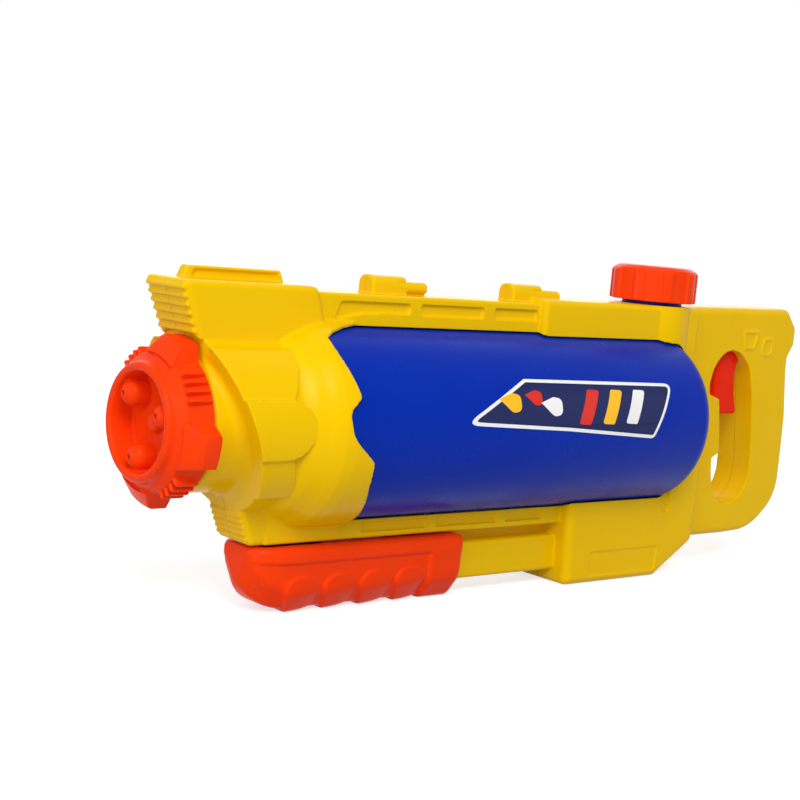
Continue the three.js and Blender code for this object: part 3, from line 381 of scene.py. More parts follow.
def slab_rings(corners: Sequence[Corner], half: float, edge: float,
               depth: float) -> list[tuple[float, list[Point]]]:
    """Outlines across a slab with rounded edges.

    Args:
        corners: points with an optional corner radius as third number.
        half: half of the slab's thickness.
        edge: how much the rounding takes off the outline.
        depth: thickness over which it does so.

    Returns:
        Pairs of a place across the slab and the outline there.
    """
    least_radius = 0.6
    if edge > 0:
        corners = [(c[0], c[1], max(c[2] if len(c) > 2 else 0.0, least_radius)) for c in corners]
    angles = quarter(EDGE_STEPS if edge > 0 else 0)
    upper = [(half - depth + depth * math.sin(a), edge * (1 - math.cos(a))) for a in angles]
    levels = [(-place, taken) for place, taken in reversed(upper)] + upper
    return [(place, rounded(inset(corners, taken) if taken > 0 else corners)) for place, taken in levels]


def plate(corners: Sequence[Corner], half: float, edge: float = 0.0) -> Solid:
    """A plate about the middle plane, cut to an outline of [station, height, radius] seen from the side."""
    rings = slab_rings(corners, half, edge, edge)
    return loft([[Vector((NOSE + x, y, z)) for x, z in ring] for y, ring in rings])


def bar(corners: Sequence[Corner], start: float, end: float, edge: float = 0.0, depth: float = 0.0) -> Solid:
    """A bar along the length with a section of [y, z, radius], between two stations."""
    middle = NOSE + (start + end) / 2
    rings = slab_rings(corners, (end - start) / 2, edge, depth)
    return loft([[Vector((middle + x, y, z)) for y, z in ring] for x, ring in rings])


def turned(profile: Sequence[Point], place: Matrix, sides: int) -> Solid:
    """A turned solid from [along, radius], whose axis is the place's own Z."""
    points = []
    for spot, radius in profile:
        for side in range(sides):
            angle = 2 * math.pi * side / sides
            points.append(place @ Vector((radius * math.cos(angle), radius * math.sin(angle), spot)))
    faces = []
    for level in range(len(profile) - 1):
        flat_start = profile[level][1] == 0
        flat_end = profile[level + 1][1] == 0
        if flat_start and flat_end:
            continue
        for side in range(sides):
            a = level * sides + side
            b = level * sides + (side + 1) % sides
            ring = (a, b, b + sides, a + sides)
            faces.append(ring[1:] if flat_start else ring[:3] if flat_end else ring)
    return Solid(points, faces)


def along(profile: Sequence[Point], y: float = 0.0, z: float = AXIS_Z, sides: int = ROUND_SIDES) -> Solid:
    """A piece turned about a line along the length, from [station, radius]."""
    axes = Matrix(((0, 0, 1, NOSE), (1, 0, 0, y), (0, 1, 0, z), (0, 0, 0, 1)))
    return turned(profile, axes, sides)


def upright(profile: Sequence[Point], x: float, y: float = 0.0, sides: int = ROUND_SIDES) -> Solid:
    """A piece turned about an upright line, from [height, radius]."""
    return turned(profile, Matrix.Translation((NOSE + x, y, 0)), sides)


def across(profile: Sequence[Point], x: float, z: float) -> Solid:
    """A piece turned about a line from side to side, from [y, radius]."""
    axes = Matrix(((0, 1, 0, NOSE + x), (0, 0, 1, 0), (1, 0, 0, z), (0, 0, 0, 1)))
    return turned(profile, axes, SMALL_SIDES)


def rod(start: float, end: float, radius: float) -> list[Point]:
    """Profile of a plain round rod."""
    return [(start, 0.0), (start, radius), (end, radius), (end, 0.0)]


def box(low: Sequence[float], high: Sequence[float]) -> Solid:
    """A block between two corners of [station, y, z]."""
    return bar(rectangle(*low[1:], *high[1:]), low[0], high[0])


@dataclass(frozen=True)
class Finish:
    """A moulded, rubber or metal surface, mottled, unevenly glossy and finely rough.

    Attributes:
        name: material and process.
        colour: main colour as sRGB hex.
        shade: colour of the mottling as sRGB hex.
        roughness: mean roughness of the surface.
        uneven: how far the roughness wanders either way.
        mottle: size of the mottling in millimetres.
        grain: size of the surface's waves in millimetres.
        depth: height of those waves in millimetres.
        ior: refractive index.
        metallic: 1 for metal.
        wear: how much white the sharpest edges take, where they are rubbed.
        gloss: strength of reflections, 0.5 being that of the refractive index alone.
        glow: share of light that scatters inside.
        see_through: share of light that passes through.
        slot: slot of the record that it dresses, if any.
    """

    name: str
    colour: str
    shade: str
    roughness: float
    uneven: float
    mottle: float
    grain: float
    depth: float
    ior: float = 1.5
    metallic: float = 0.0
    wear: float = 0.04
    gloss: float = 0.06
    glow: float = 0.0
    see_through: float = 0.0
    slot: str = ""

    def material(self) -> bpy.types.Material:
        """Make the material once, and give it back each time.

        Returns:
            The procedural material.
        """
        if self.name in bpy.data.materials:
            return bpy.data.materials[self.name]
        made = bpy.data.materials.new(self.name)
        made.use_nodes = True
        tree = made.node_tree
        tree.nodes.clear()
        spot = node(tree, "ShaderNodeTexCoord").outputs["Object"]
        mottling = node(tree, "ShaderNodeTexNoise", {"Vector": spot},
                        Scale=1 / (self.mottle * MM), Detail=4.0)
        waves = node(tree, "ShaderNodeTexNoise", {"Vector": spot},
                     Scale=1 / (self.grain * MM), Detail=2.0)
        edges = node(tree, "ShaderNodeNewGeometry").outputs["Pointiness"]
        rubbed = node(tree, "ShaderNodeMapRange", {"Value": edges}, From_Min=0.54, From_Max=0.7,
                      To_Min=0.0, To_Max=self.wear)
        body = node(tree, "ShaderNodeMixRGB", {"Fac": mottling.outputs["Fac"]},
                    Color1=linear(self.colour), Color2=linear(self.shade))
        worn = node(tree, "ShaderNodeMixRGB",
                    {"Fac": rubbed.outputs["Result"], "Color1": body.outputs["Color"]},
                    Color2=linear("#FFFFFF"))
        rough = node(tree, "ShaderNodeMapRange", {"Value": mottling.outputs["Fac"]},
                     From_Min=0.3, From_Max=0.7,
                     To_Min=self.roughness - self.uneven, To_Max=self.roughness + self.uneven)
        bump = node(tree, "ShaderNodeBump", {"Height": waves.outputs["Fac"]},
                    Strength=1.0, Distance=self.depth * MM)
        surface = node(tree, "ShaderNodeBsdfPrincipled", {
            "Base Color": worn.outputs["Color"],
            "Roughness": rough.outputs["Result"],
            "Normal": bump.outputs["Normal"],
        }, IOR=self.ior, Metallic=self.metallic)
        surface.inputs["Specular IOR Level"].default_value = self.gloss
        surface.inputs["Subsurface Weight"].default_value = self.glow
        surface.inputs["Subsurface Scale"].default_value = 1.5 * MM
        surface.inputs["Transmission Weight"].default_value = self.see_through
        node(tree, "ShaderNodeOutputMaterial", {"Surface": surface.outputs["BSDF"]})
        return made


def film(ink: str, colour: str, shade: str) -> Finish:
    """Printed vinyl film: flat even ink under a thin gloss coat."""
    return Finish(f"printed_vinyl_film_{ink}", colour, shade, 0.22, 0.04, 20, 3.0, 0.01, 1.53)


# Glossy ABS from a polished mould: clear soft reflections, a little uneven from cooling.
YELLOW_ABS = Finish("injection_moulded_yellow_abs", "#EFC300", "#E9B900",
                    0.26, 0.05, 45, 2.2, 0.012, 1.53, slot="body_yellow")
# Blow-moulded polyethylene: broad soft highlights broken up by a pebbled skin.
BLUE_PE = Finish("blow_moulded_blue_polyethylene", "#002CA8", "#00289C",
                 0.3, 0.05, 30, 2.6, 0.03, 1.51, slot="tank_blue")
# Injection-moulded polypropylene: duller gloss than ABS, strong colour.
ORANGE_PP = Finish("injection_moulded_orange_polypropylene", "#F64008", "#EE3A08",
                   0.3, 0.06, 25, 1.8, 0.014, 1.49, slot="trim_orange")
RED_PP = Finish("injection_moulded_red_polypropylene", "#F02806", "#E62406",
                0.3, 0.06, 20, 1.8, 0.012, 1.49, slot="trigger_red")
# Uncoloured acetal and polypropylene inside: milky and satin.
NATURAL_POM = Finish("moulded_natural_acetal", "#E8E6DF", "#DEDBD2",
                     0.42, 0.06, 18, 1.6, 0.012, 1.48, glow=0.2, slot="natural_plastic")
# Moulded nitrile rubber: dark, and too rough for clear reflections.
BLACK_RUBBER = Finish("moulded_nitrile_rubber", "#202022", "#29292C",
                      0.75, 0.08, 10, 1.2, 0.02, 1.52, wear=0.12, slot="seal_rubber")
# Extruded soft vinyl: cloudy, lets some light through.
CLEAR_VINYL = Finish("extruded_soft_vinyl", "#D4DBDD", "#C6CFD2",
                     0.3, 0.06, 14, 1.5, 0.01, 1.53, see_through=0.35, slot="hose_vinyl")
# Zinc-plated steel wire and screws: bright with a fine dull grain.
PLATED_STEEL = Finish("zinc_plated_steel", "#B8BCC0", "#A4A9AE",
                      0.3, 0.08, 6, 1.0, 0.008, 2.5, 1.0, wear=0.3, gloss=0.5, slot="steel")
WHITE_FILM = film("white", "#F4F4F2", "#ECECEA")
NAVY_FILM = film("navy", "#0B1C5C", "#0A194F")
RED_FILM = film("red", "#E02A16", "#D62412")
GOLD_FILM = film("gold", "#FFC21A", "#F8B80E")

FINISH_OF_SLOT = {finish.slot: finish for finish in (
    YELLOW_ABS, BLUE_PE, ORANGE_PP, RED_PP, NATURAL_POM, BLACK_RUBBER, CLEAR_VINYL, PLATED_STEEL)}


@dataclass
class Tank:
    """The round pressure tank with its filler neck, hose spigots and label."""

    start: float = 80.0
    straight: float = 254.0
    radius: float = 48.0
    wall: float = 2.6
    gap: float = 0.8
    front_dome: float = 18.0
    rear_dome: float = 22.0
    neck_station: float = 335.0
    neck_radius: float = 17.0
    neck_bore: float = 14.0
    neck_top: float = 172.0
    spigot_radius: float = 1.8
    spigot_foot: float = 36.5
    dome_steps: int = 16

    def capsule(self, grown: float) -> Solid:
        """The tank's outside, grown by a gap or shrunk by a wall."""
        angles = quarter(self.dome_steps)
        radius, end = self.radius + grown, self.start + self.straight
        nose, tail = self.front_dome + grown, self.rear_dome + grown
        front = [(self.start - nose * math.cos(a), radius * math.sin(a)) for a in angles[1:]]
        rear = [(end + tail * math.sin(a), radius * math.cos(a)) for a in angles[:-1]]
        return along([(self.start - nose, 0.0), *front, *rear, (end + tail, 0.0)])

    def shell(self) -> None:
        """Build the blow-moulded tank."""
        spigots = ((312.0, 9.0), (344.0, 0.0))
        foot, radius = self.spigot_foot, self.spigot_radius
        stubs = [upright(rod(foot, AXIS_Z, radius), x, y, SMALL_SIDES) for x, y in spigots]
        bores = [upright(rod(foot - 1, AXIS_Z, radius / 2), x, y, SMALL_SIDES) for x, y in spigots]
        neck = upright(rod(AXIS_Z, self.neck_top, self.neck_radius), self.neck_station)
        mouth = upright(rod(AXIS_Z, self.neck_top + WALL, self.neck_bore), self.neck_station)
        tank = self.capsule(0).add(neck, *stubs).cut(self.capsule(-self.wall), mouth, *bores)
        tank.piece("tank_blue", BLUE_PE, Rides.BODY, ["pressure_tank"], sharp=35)

    def build(self) -> None:
        """Build the tank and its label."""
        self.shell()
        Label(self.radius).build()


@dataclass
class Label:
    """A film label of plain shapes on the tank's left side: slanted bars and drops on a dark field."""

    tank_radius: float
    lift: float = 0.04
    film: float = 0.08
    strip: float = 2.0

    def patch(self, corners: Sequence[Corner], layer: int) -> Solid:
        """A piece of film bent round the tank.

        Args:
            corners: outline of [station, arc upwards from the tank's side, radius].
            layer: how many films lie under it.

        Returns:
            The closed film.
        """
        shape = bmesh.new()
        ring = [shape.verts.new((x, arc, 0)) for x, arc in rounded(corners)]
        shape.faces.new(ring)
        arcs = [corner[1] for corner in corners]
        level = min(arcs) + self.strip
        while level < max(arcs):
            everything = [*shape.verts, *shape.edges, *shape.faces]
            bmesh.ops.bisect_plane(shape, geom=everything, plane_co=(0, level, 0), plane_no=(0, 1, 0))
            level += self.strip
        bmesh.ops.triangulate(shape, faces=shape.faces)
        inner = self.tank_radius + self.lift + layer * self.film
        points = []
        for radius in (inner, inner + self.film):
            for vert in shape.verts:
                angle = vert.co.y / self.tank_radius
                y, z = -radius * math.cos(angle), AXIS_Z + radius * math.sin(angle)
                points.append(Vector((NOSE + vert.co.x, y, z)))
        shape.verts.index_update()
        count = len(shape.verts)
        faces = []
        for face in shape.faces:
            index = [vert.index for vert in face.verts]
            faces.append(index)
            faces.append([i + count for i in reversed(index)])
        for edge in shape.edges:
            if edge.is_boundary:
                a, b = (vert.index for vert in edge.verts)
                faces.append([a, b, b + count, a + count])
        shape.free()
        return Solid(points, faces)

    def build(self) -> None:
        """Build the label's films from the white border up."""
        border = [(152, 4, 3), (196, 27, 4), (309, 25, 4), (292, -5, 4), (226, 0, 6)]
        self.patch(border, 0).piece("label_border", WHITE_FILM, Rides.BODY, sharp=30)
        self.patch(inset(border, 1.8), 1).piece("label_field", NAVY_FILM, Rides.BODY, sharp=30)
        bars = ((232, RED_FILM), (250, GOLD_FILM), (268, WHITE_FILM))
        for number, (x, film) in enumerate(bars, 1):
            slant = [(x, 3.5, 1.5), (x + 9, 3, 1.5), (x + 17, 21, 1.5), (x + 8, 21.4, 1.5)]
            self.patch(slant, 2).piece(f"label_bar_{number}", film, Rides.BODY, sharp=30)
        drops = ((186, 14.5, 5.0, GOLD_FILM), (202, 17, 4.0, RED_FILM), (215, 12.5, 5.0, WHITE_FILM))
        for number, (x, arc, size, film) in enumerate(drops, 1):
            drop = [(x - 2 * size, arc + 0.4 * size, 0.2), (x - 0.2 * size, arc + size, size),
                    (x + size, arc + 0.8 * size, size), (x + size, arc - 0.8 * size, size),
                    (x - 0.2 * size, arc - size, size)]
            self.patch(drop, 2).piece(f"label_drop_{number}", film, Rides.BODY, sharp=30)


@dataclass
class Shells:
    """The two yellow body shells: shroud, collar, sleeve, rails, rear housing and looped handle."""

    tank: Tank
    rail_half: float = 14.0
    rail_start: float = 150.0
    rear_half: float = 18.0
    housing_half: float = 21.0
    handle_half: float = 12.5
    shroud_half: float = 17.0
    shroud_foot_half: float = 13.5
    shroud_front: float = 9.4
    shroud_foot: float = 57.5
    shroud_end: float = 82.4
    collar_end: float = 62.0
    collar_radius: float = 41.5
    sleeve_end: float = 114.0
    sleeve_radius: float = 50.8
    column_radius: float = 22.0
    head_room: float = 41.5
    head_room_end: float = 22.0
    tube_radius: float = 30.0
    tube_front: float = 18.0
    tube_end: float = 56.0
    neck_flare: float = 32.0
    neck_fillet: float = 5.0
    neck_wall: Point = (26.4, 28.6)
    manifold_room: float = 24.8
    stem_radius: float = 8.4
    pivot: Point = (414.0, 138.0)
    pin_radius: float = 2.0
    slot_half: float = 6.9
    screw_spots: tuple[Point, ...] = (
        (47.4, 142.0), (195.0, 147.0), (285.0, 146.0), (446.0, 139.0),
        (441.4, 88.0), (441.7, 33.0), (398.0, 28.5), (335.0, 10.0))
    grain: float = 0.5
    softness: int = 5
    share: float = 0.16

    def face(self, z: float) -> float:
        """Station of the raked front face at a height."""
        return self.shroud_front + (TOP_Z - z) * (self.shroud_foot - self.shroud_front) / (TOP_Z - LOWER_Z)

    def rake(self) -> float:
        """How far the front face runs back for each millimetre down."""
        return (self.shroud_foot - self.shroud_front) / (TOP_Z - LOWER_Z)

    def half_at(self, z: float) -> float:
        """Half width of the shroud at a height, narrower downwards."""
        rise = (z - LOWER_Z) / (TOP_Z - LOWER_Z)
        return self.shroud_foot_half + (self.shroud_half - self.shroud_foot_half) * rise

    def narrowed(self, solid: Solid) -> Solid:
        """Narrow part of the shroud downwards."""
        for vertex in solid.thing.data.vertices:
            vertex.co.y *= self.half_at(vertex.co.z) / self.shroud_half
        return solid

    def neck(self) -> Solid:
        """The round neck behind the head, with a fillet where it meets the raked face."""
        flare, face, fillet = self.neck_flare, self.face(AXIS_Z), self.neck_fillet
        tube = along([
            (self.tube_front, 0), (self.tube_front, self.tube_radius), (21, self.tube_radius),
            (21.6, flare - 0.6), (22.4, flare), (self.tube_end, flare), (self.tube_end, 0)])
        turns = quarter(CORNER_STEPS)
        curve = [(face - fillet + fillet * math.sin(a), flare + fillet - fillet * math.cos(a)) for a in turns]
        ring = along([(face - fillet, 0), *curve, (face + 1, flare + fillet), (face + 1, 0)])
        rake = self.rake()
        for vertex in ring.thing.data.vertices:
            vertex.co.x += (AXIS_Z - vertex.co.z) * rake
        ring.cut(along(rod(-10, self.head_room_end, self.head_room)))
        return tube.add(ring)

    def ahead(self, wall: float) -> Solid:
        """What lies ahead of the raked front face, moved back by a wall."""
        back = wall * math.hypot(1, self.rake())
        ahead, half = -60.0, 110.0
        low, high = ahead, TOP_Z - ahead
        slope = [(self.face(high) + back, high), (self.face(low) + back, low)]
        return plate([(ahead, high), *slope, (ahead, low)], half)

    def outlines(self) -> dict[str, tuple[list[Corner], float, float]]:
        """Outline, half width and edge rounding of each part of the body, seen from the side."""
        top, soft = TOP_Z + 1, 99
        return {
            "shroud": ([
                (self.shroud_foot, LOWER_Z, 2), (114.4, LOWER_Z, 2), (114.4, 56.5, 4), (94.4, 120.5, 4),
                (self.shroud_end, top, 4), (self.face(top), top, 2.5)], self.shroud_half, 2.8),
            "spine": ([
                (65, LOWER_Z, 1), (292, LOWER_Z), (292, SPINE_TOP), (65, SPINE_TOP, 1)], self.rail_half, 1.2),
            "rear": ([
                (231, REAR_TOP, 2), (358, REAR_TOP, 4), (358, 21, 6), (342, 21, 4), (342, AXIS_Z, 2),
                (231, AXIS_Z, 2)], self.rear_half, 3.0),
            "housing": ([
                (264, 0, 4), (339, 0, 5), (347, 5, 5), (362, 14, 6), (370, HANDLE_FOOT, 6), (370, 66.5, 6),
                (260, 66.5, 4)], self.housing_half, 4.5),
            "handle": ([
                (345, HANDLE_FOOT, 4), (409, HANDLE_FOOT, soft), (437, 20, soft), raked(452.4, 40, soft),
                raked(456.6, 66, soft), raked(460, AXIS_Z, 20), raked(460.5, 118, 12), raked(461.5, 127, 5),
                (LENGTH, 135, 5), (LENGTH, 146, 6), (451, HANDLE_TOP, 6), (345, REAR_TOP, 4)],
                self.handle_half, 4.0),
        }

    def opening(self) -> list[Corner]:
        """Outline of the hand's opening in the handle, with a tab half way up its front."""
        soft = 99.0
        loop = [
            (380.6, 111), (383.5, 121.5), (393, 130.6), (405, 130.6), (417.5, 121.5), (422.6, 103),
            (427.4, 70), (428.2, 52), (420.5, 39.6), (404.5, 37), (394, 45), (391, 57)]
        tab = [(390, 66, 1), (396.4, 69.2, 1), (394.2, 86, 12), (391, 101.4, 1), (381.6, 104.6, 1)]
        return [*((x, z, soft) for x, z in loop), *tab]

    def scallop(self) -> list[Corner]:
        """Outline that cuts the sleeve's rear edge."""
        reach = 60
        edge = [
            (81.6, reach, 0), (81.6, 44, 4), (82, 36, 20), (88.3, 17.4, 2), (81.3, 11, 6), (83.4, -1, 14),
            (97.6, -12.4, 4), (99.6, -25, 20), (106.5, -41, 6), (112, -reach, 0)]
        raised = [(x, AXIS_Z + rise, radius) for x, rise, radius in edge]
        return [(0, AXIS_Z + reach), *raised, (0, AXIS_Z - reach)]

    def bulge(self, wall: float) -> Solid:
        """The collar and the sleeve round the tank's front, or the room inside them."""
        front, end, radius = self.shroud_front, self.collar_end, self.collar_radius - wall
        sleeve = self.sleeve_radius - (wall and self.sleeve_radius - self.tank.radius)
        profile = [
            (front, 0), (front, radius), (end, radius), (end + 1, radius + 1), (end + 5, radius + 3.4),
            (end + 10, sleeve - 4), (end + 14, sleeve - 2.2), (end + 18, sleeve - 0.8), (86, sleeve),
            (self.sleeve_end, sleeve), (self.sleeve_end, 0)]
        outline = inset(self.scallop(), wall) if wall else self.scallop()
        return along(profile).keep(plate(outline, self.sleeve_radius + WALL))

    def gusset(self) -> Solid:
        """The sleeve's tongue under the top rail, narrower to the rear, cut to a plan."""
        side = [(75, 30, 2), (81, 27, 2), (87, 23, 8), (98, 17.4, 14), (109, 13.6, 10), (124, 10)]
        plan = [*((x, -y, *radius) for x, y, *radius in side), *reversed(side)]
        rings = [[Vector((NOSE + x, y, z)) for x, y in rounded(plan)] for z in (AXIS_Z + 20, SPINE_TOP - 4)]
        full = self.sleeve_radius
        crown = [(74, 0), (74, 48), (76, 48.6), (80, 50), (86, full), (125, full), (125, 0)]
        return along(crown).keep(loft(rings))

    def pads(self) -> list[Solid]:
        """Three overlapping pads on each side of the collar, from the top down."""
        middle, reach = 1.9, 13.4
        turns = [math.radians(angle) for angle in range(-80, 81, 10)]
        bow = [(53.2 + reach * math.cos(a), middle + reach * math.sin(a)) for a in turns]
        pads = (
            (1.5, [(56.4, 14.5), (59.6, 21), (62, 26.6), (63.8, 31.7), (64.6, 35.9, 1.5)]),
            (3.2, [(53.2, middle - reach), *bow, (53.2, middle + reach)]),
            (1.7, [(63.2, -31, 2), (63.8, -28), (63.4, -25), (61.2, -18.7), (57.4, -11)]),
        )
        made = []
        for rise, edge in pads:
            outline = [(self.shroud_front, edge[0][1]), *edge, (self.shroud_front, edge[-1][1])]
            raised = [(x, AXIS_Z + z, *radius) for x, z, *radius in outline]
            limit = along(rod(self.shroud_front, self.collar_end + 10, self.collar_radius + rise))
            made.append(plate(raised, self.sleeve_radius).keep(limit))
        return made

    def face_ribs(self) -> list[Solid]:
        """Rounded ribs across the shroud's front face, above and below the head."""
        radius = 1.1
        upper = [151.5 - 3.8 * step for step in range(6)]
        lower = [37 + 2.875 * step for step in range(5)]
        ribs = []
        for z in (*upper, *lower):
            x = self.face(z)
            low, high = z - radius, z + radius
            outline = [(x - radius, low, 1), (x + 2, low), (x + 2, high), (x - radius, high, 1)]
            ribs.append(plate(outline, self.half_at(z) - 1.5))
        return ribs

    def top_trim(self) -> list[Solid]:
        """The sight fin and the two sling lugs on top."""
        fin = plate([(15.4, 152), (73.4, 152), (69.4, 160.6, 1), (19.4, 160.6, 1)], 3.2, 0.6)
        panel = [(21.4, 155.5, 0.5), (69.4, 155.5, 0.5), (67.9, 159.2, 0.5), (22.9, 159.2, 0.5)]
        fin.cut(plate(panel, 5).cut(plate(panel, 1.8)))
        foot, high = SPINE_TOP - 2, SPINE_TOP + 9
        hood = [(-6, foot), (6, foot), (6, high, 5), (-6, high, 5)]
        parts = [fin]
        for x in (123.0, 218.0):
            mouth = along(rod(x + 16, x + 30, 3.6), -3, SPINE_TOP + 4)
            parts.append(bar(hood, x, x + 22, 0.8, 0.8).cut(mouth))
            parts.append(along(rod(x + 14, x + 35, 3), -3, SPINE_TOP + 3.6, SMALL_SIDES))
        return parts

    def side_panels(self) -> list[Solid]:
        """Shallow panels in the sides of the rails, the housing and the housing's notch."""
        shallow, deep = 0.6, 1.6
        rows = (((148, 190.5), (198, 229)), 143.2, 148.7), (((122, 165), (171, 214), (220, 248)), 37, 42)
        cuts = [(rectangle(start, low, end, high, 1.5), self.rail_half, deep)
                for spans, low, high in rows for start, end in spans]
        swept = [
            (95, 139.8, 1), (105.5, 142.2, 9), (114, 143.4, 9), (141.2, 143.8, 1.5), (141, 148.7, 1.5),
            (98, 148.6, 1.5)]
        cuts.append((swept, self.rail_half, deep))
        cuts.append(([(281, 4, 2), (337, 4, 2), (338, 18, 2), (281, 18, 2)], self.housing_half, shallow))
        cuts.append(([(338, 37.5, 2), (345, 37.5, 2), (343, 52, 2), (336, 52, 2)], self.housing_half, deep))
        return [plate(outline, half + WALL).cut(plate(outline, half - depth))
                for outline, half, depth in cuts]

    def handle_marks(self) -> list[Solid]:
        """Faint raised marks on the handle's sides: a plate and an oval ring."""
        proud = self.handle_half + 0.9
        mark = [(410, 131.5, 1.5), (419, 131.5, 1.5), (423, 143, 1.5), (407, 143, 1.5)]
        oval = rectangle(426.5, 127.5, 437.5, 139, 5)
        frames = []
        for outline in (mark, oval):
            hole = inset(outline, 1.6)
            sunk = plate(hole, proud + 1).cut(plate(hole, self.handle_half - 0.3))
            frames.append(plate(outline, proud).cut(sunk))
        return frames

    def pump_rail(self, gap: float, start: float) -> Solid:
        """The rail that the pump grip slides on, or the room inside it."""
        half, low, high, radius = 11 - gap, 7.5 + gap, 27 - gap, 2.5 - gap / 2
        return bar(rectangle(-half, low, half, high, radius), start, 282)

    def outside(self) -> Solid:
        """The body's outer form."""
        shape = self.outlines()
        front = self.narrowed(plate(*shape["shroud"])).add(self.bulge(0), self.gusset(), *self.pads())
        front.cut(self.ahead(0), along(rod(-WALL, self.head_room_end, self.head_room)))
        column = upright(rod(AXIS_Z, REAR_TOP, self.column_radius), self.tank.neck_station)
        blocks = [plate(*shape[name]) for name in ("spine", "rear", "housing", "handle")]
        web = plate(rectangle(self.rail_start, 25.9, 262, LOWER_Z + 1.1), 3)
        rail = self.pump_rail(0, self.rail_start)
        return front.add(*self.face_ribs(), self.neck(), *self.top_trim(), column, *blocks, rail, web,
                         *self.handle_marks())

    def inside(self) -> Solid:
        """The room inside the shells."""
        shape = self.outlines()
        rooms = {name: plate(inset(corners, WALL), half - WALL) for name, (corners, half, _) in shape.items()}
        front = self.narrowed(rooms.pop("shroud")).add(self.bulge(WALL))
        front.cut(self.ahead(WALL), along(rod(-WALL, self.head_room_end + WALL, self.head_room + WALL)),
                  along(rod(0, self.neck_wall[1], self.tube_radius)))
        manifold = along(rod(self.tube_front - WALL, self.neck_wall[0], self.manifold_room))
        tube = along(rod(self.neck_wall[1], self.tube_end, self.neck_flare - WALL))
        stem = along(rod(self.tube_front - WALL, self.tube_end, self.stem_radius))
        column = upright(rod(AXIS_Z, REAR_TOP - WALL, self.column_radius - WALL), self.tank.neck_station)
        rail = self.pump_rail(WALL, self.rail_start - WALL)
        return front.add(manifold, tube, stem, column, *rooms.values(), rail)

    def posts(self) -> Solid:
        """Screw posts and the trigger pin's bosses, before they are cut to the body."""
        boss_radius = 4.2
        half = self.housing_half
        bosses = [across(rod(-half, half, boss_radius), x, z) for x, z in self.screw_spots]
        pin = across(rod(-self.handle_half, self.handle_half, 2 * self.pin_radius), *self.pivot)
        return pin.add(*bosses).cut(plate(rectangle(369.5, 131, 438, 145), self.slot_half))

    def cuts(self) -> list[Solid]:
        """Everything cut through or into the finished body."""
        pin_half = self.handle_half - WALL
        screw_hole = [(-10, 0), (-10, 1.8), (8.6, 1.8), (8.6, 3.6), (23.2, 3.6), (23.2, 0)]
        return [
            self.tank.capsule(self.tank.gap),
            upright(rod(AXIS_Z, REAR_TOP + WALL, self.tank.neck_radius + FIT), self.tank.neck_station),
            plate(self.opening(), self.housing_half + WALL),
            plate(rectangle(391, 127, 425, 141, 1), self.slot_half),
            across(rod(-pin_half, pin_half, self.pin_radius + FIT / 2), *self.pivot),
            *self.side_panels(),
            *[across(screw_hole, x, z) for x, z in self.screw_spots],
        ]

    def build(self) -> None:
        """Build both shells and their screws."""
        body = self.outside()
        wall = plate(inset(self.opening(), -WALL), self.rear_half + WALL).keep(body.copy())
        posts = self.posts().keep(body.copy())
        body.cut(self.inside()).add(wall, posts).cut(*self.cuts())
        body.moulded(self.grain, self.softness, self.share)
        wide, margin, tall = 60.0, 10, 200
        for side, low, high in (("left", -wide, -SEAM / 2), ("right", SEAM / 2, wide)):
            half = body.copy().keep(box((-margin, low, -margin), (LENGTH + margin, high, tall)))
            half.piece(f"shell_{side}", YELLOW_ABS, Rides.BODY, [f"body_shell_{side}"], sharp=50)
        body.discard()
        for number, (x, z) in enumerate(self.screw_spots, 1):
            screw = self.screw(x, z)
            screw.piece(f"screw_{number}", PLATED_STEEL, Rides.BODY, [f"body_screw_{number}"], sharp=30)

    def screw(self, x: float, z: float) -> Solid:
        """A self-tapping screw with a cross in its head."""
        shank, head, seat = 1.5, 3.2, 9.0
        profile = [
            (seat - 18, 0), (seat - 16, shank), (seat, shank), (seat, head), (seat + 0.8, head - 0.2),
            (seat + 1.5, head - 0.7), (seat + 2, head - 1.5), (seat + 2, 0)]
        arms = ((1.7, 0.4), (0.4, 1.7))
        cross = [box((x - a, seat + 0.8, z - b), (x + a, seat + 3, z + b)) for a, b in arms]
        return across(profile, x, z).cut(*cross)


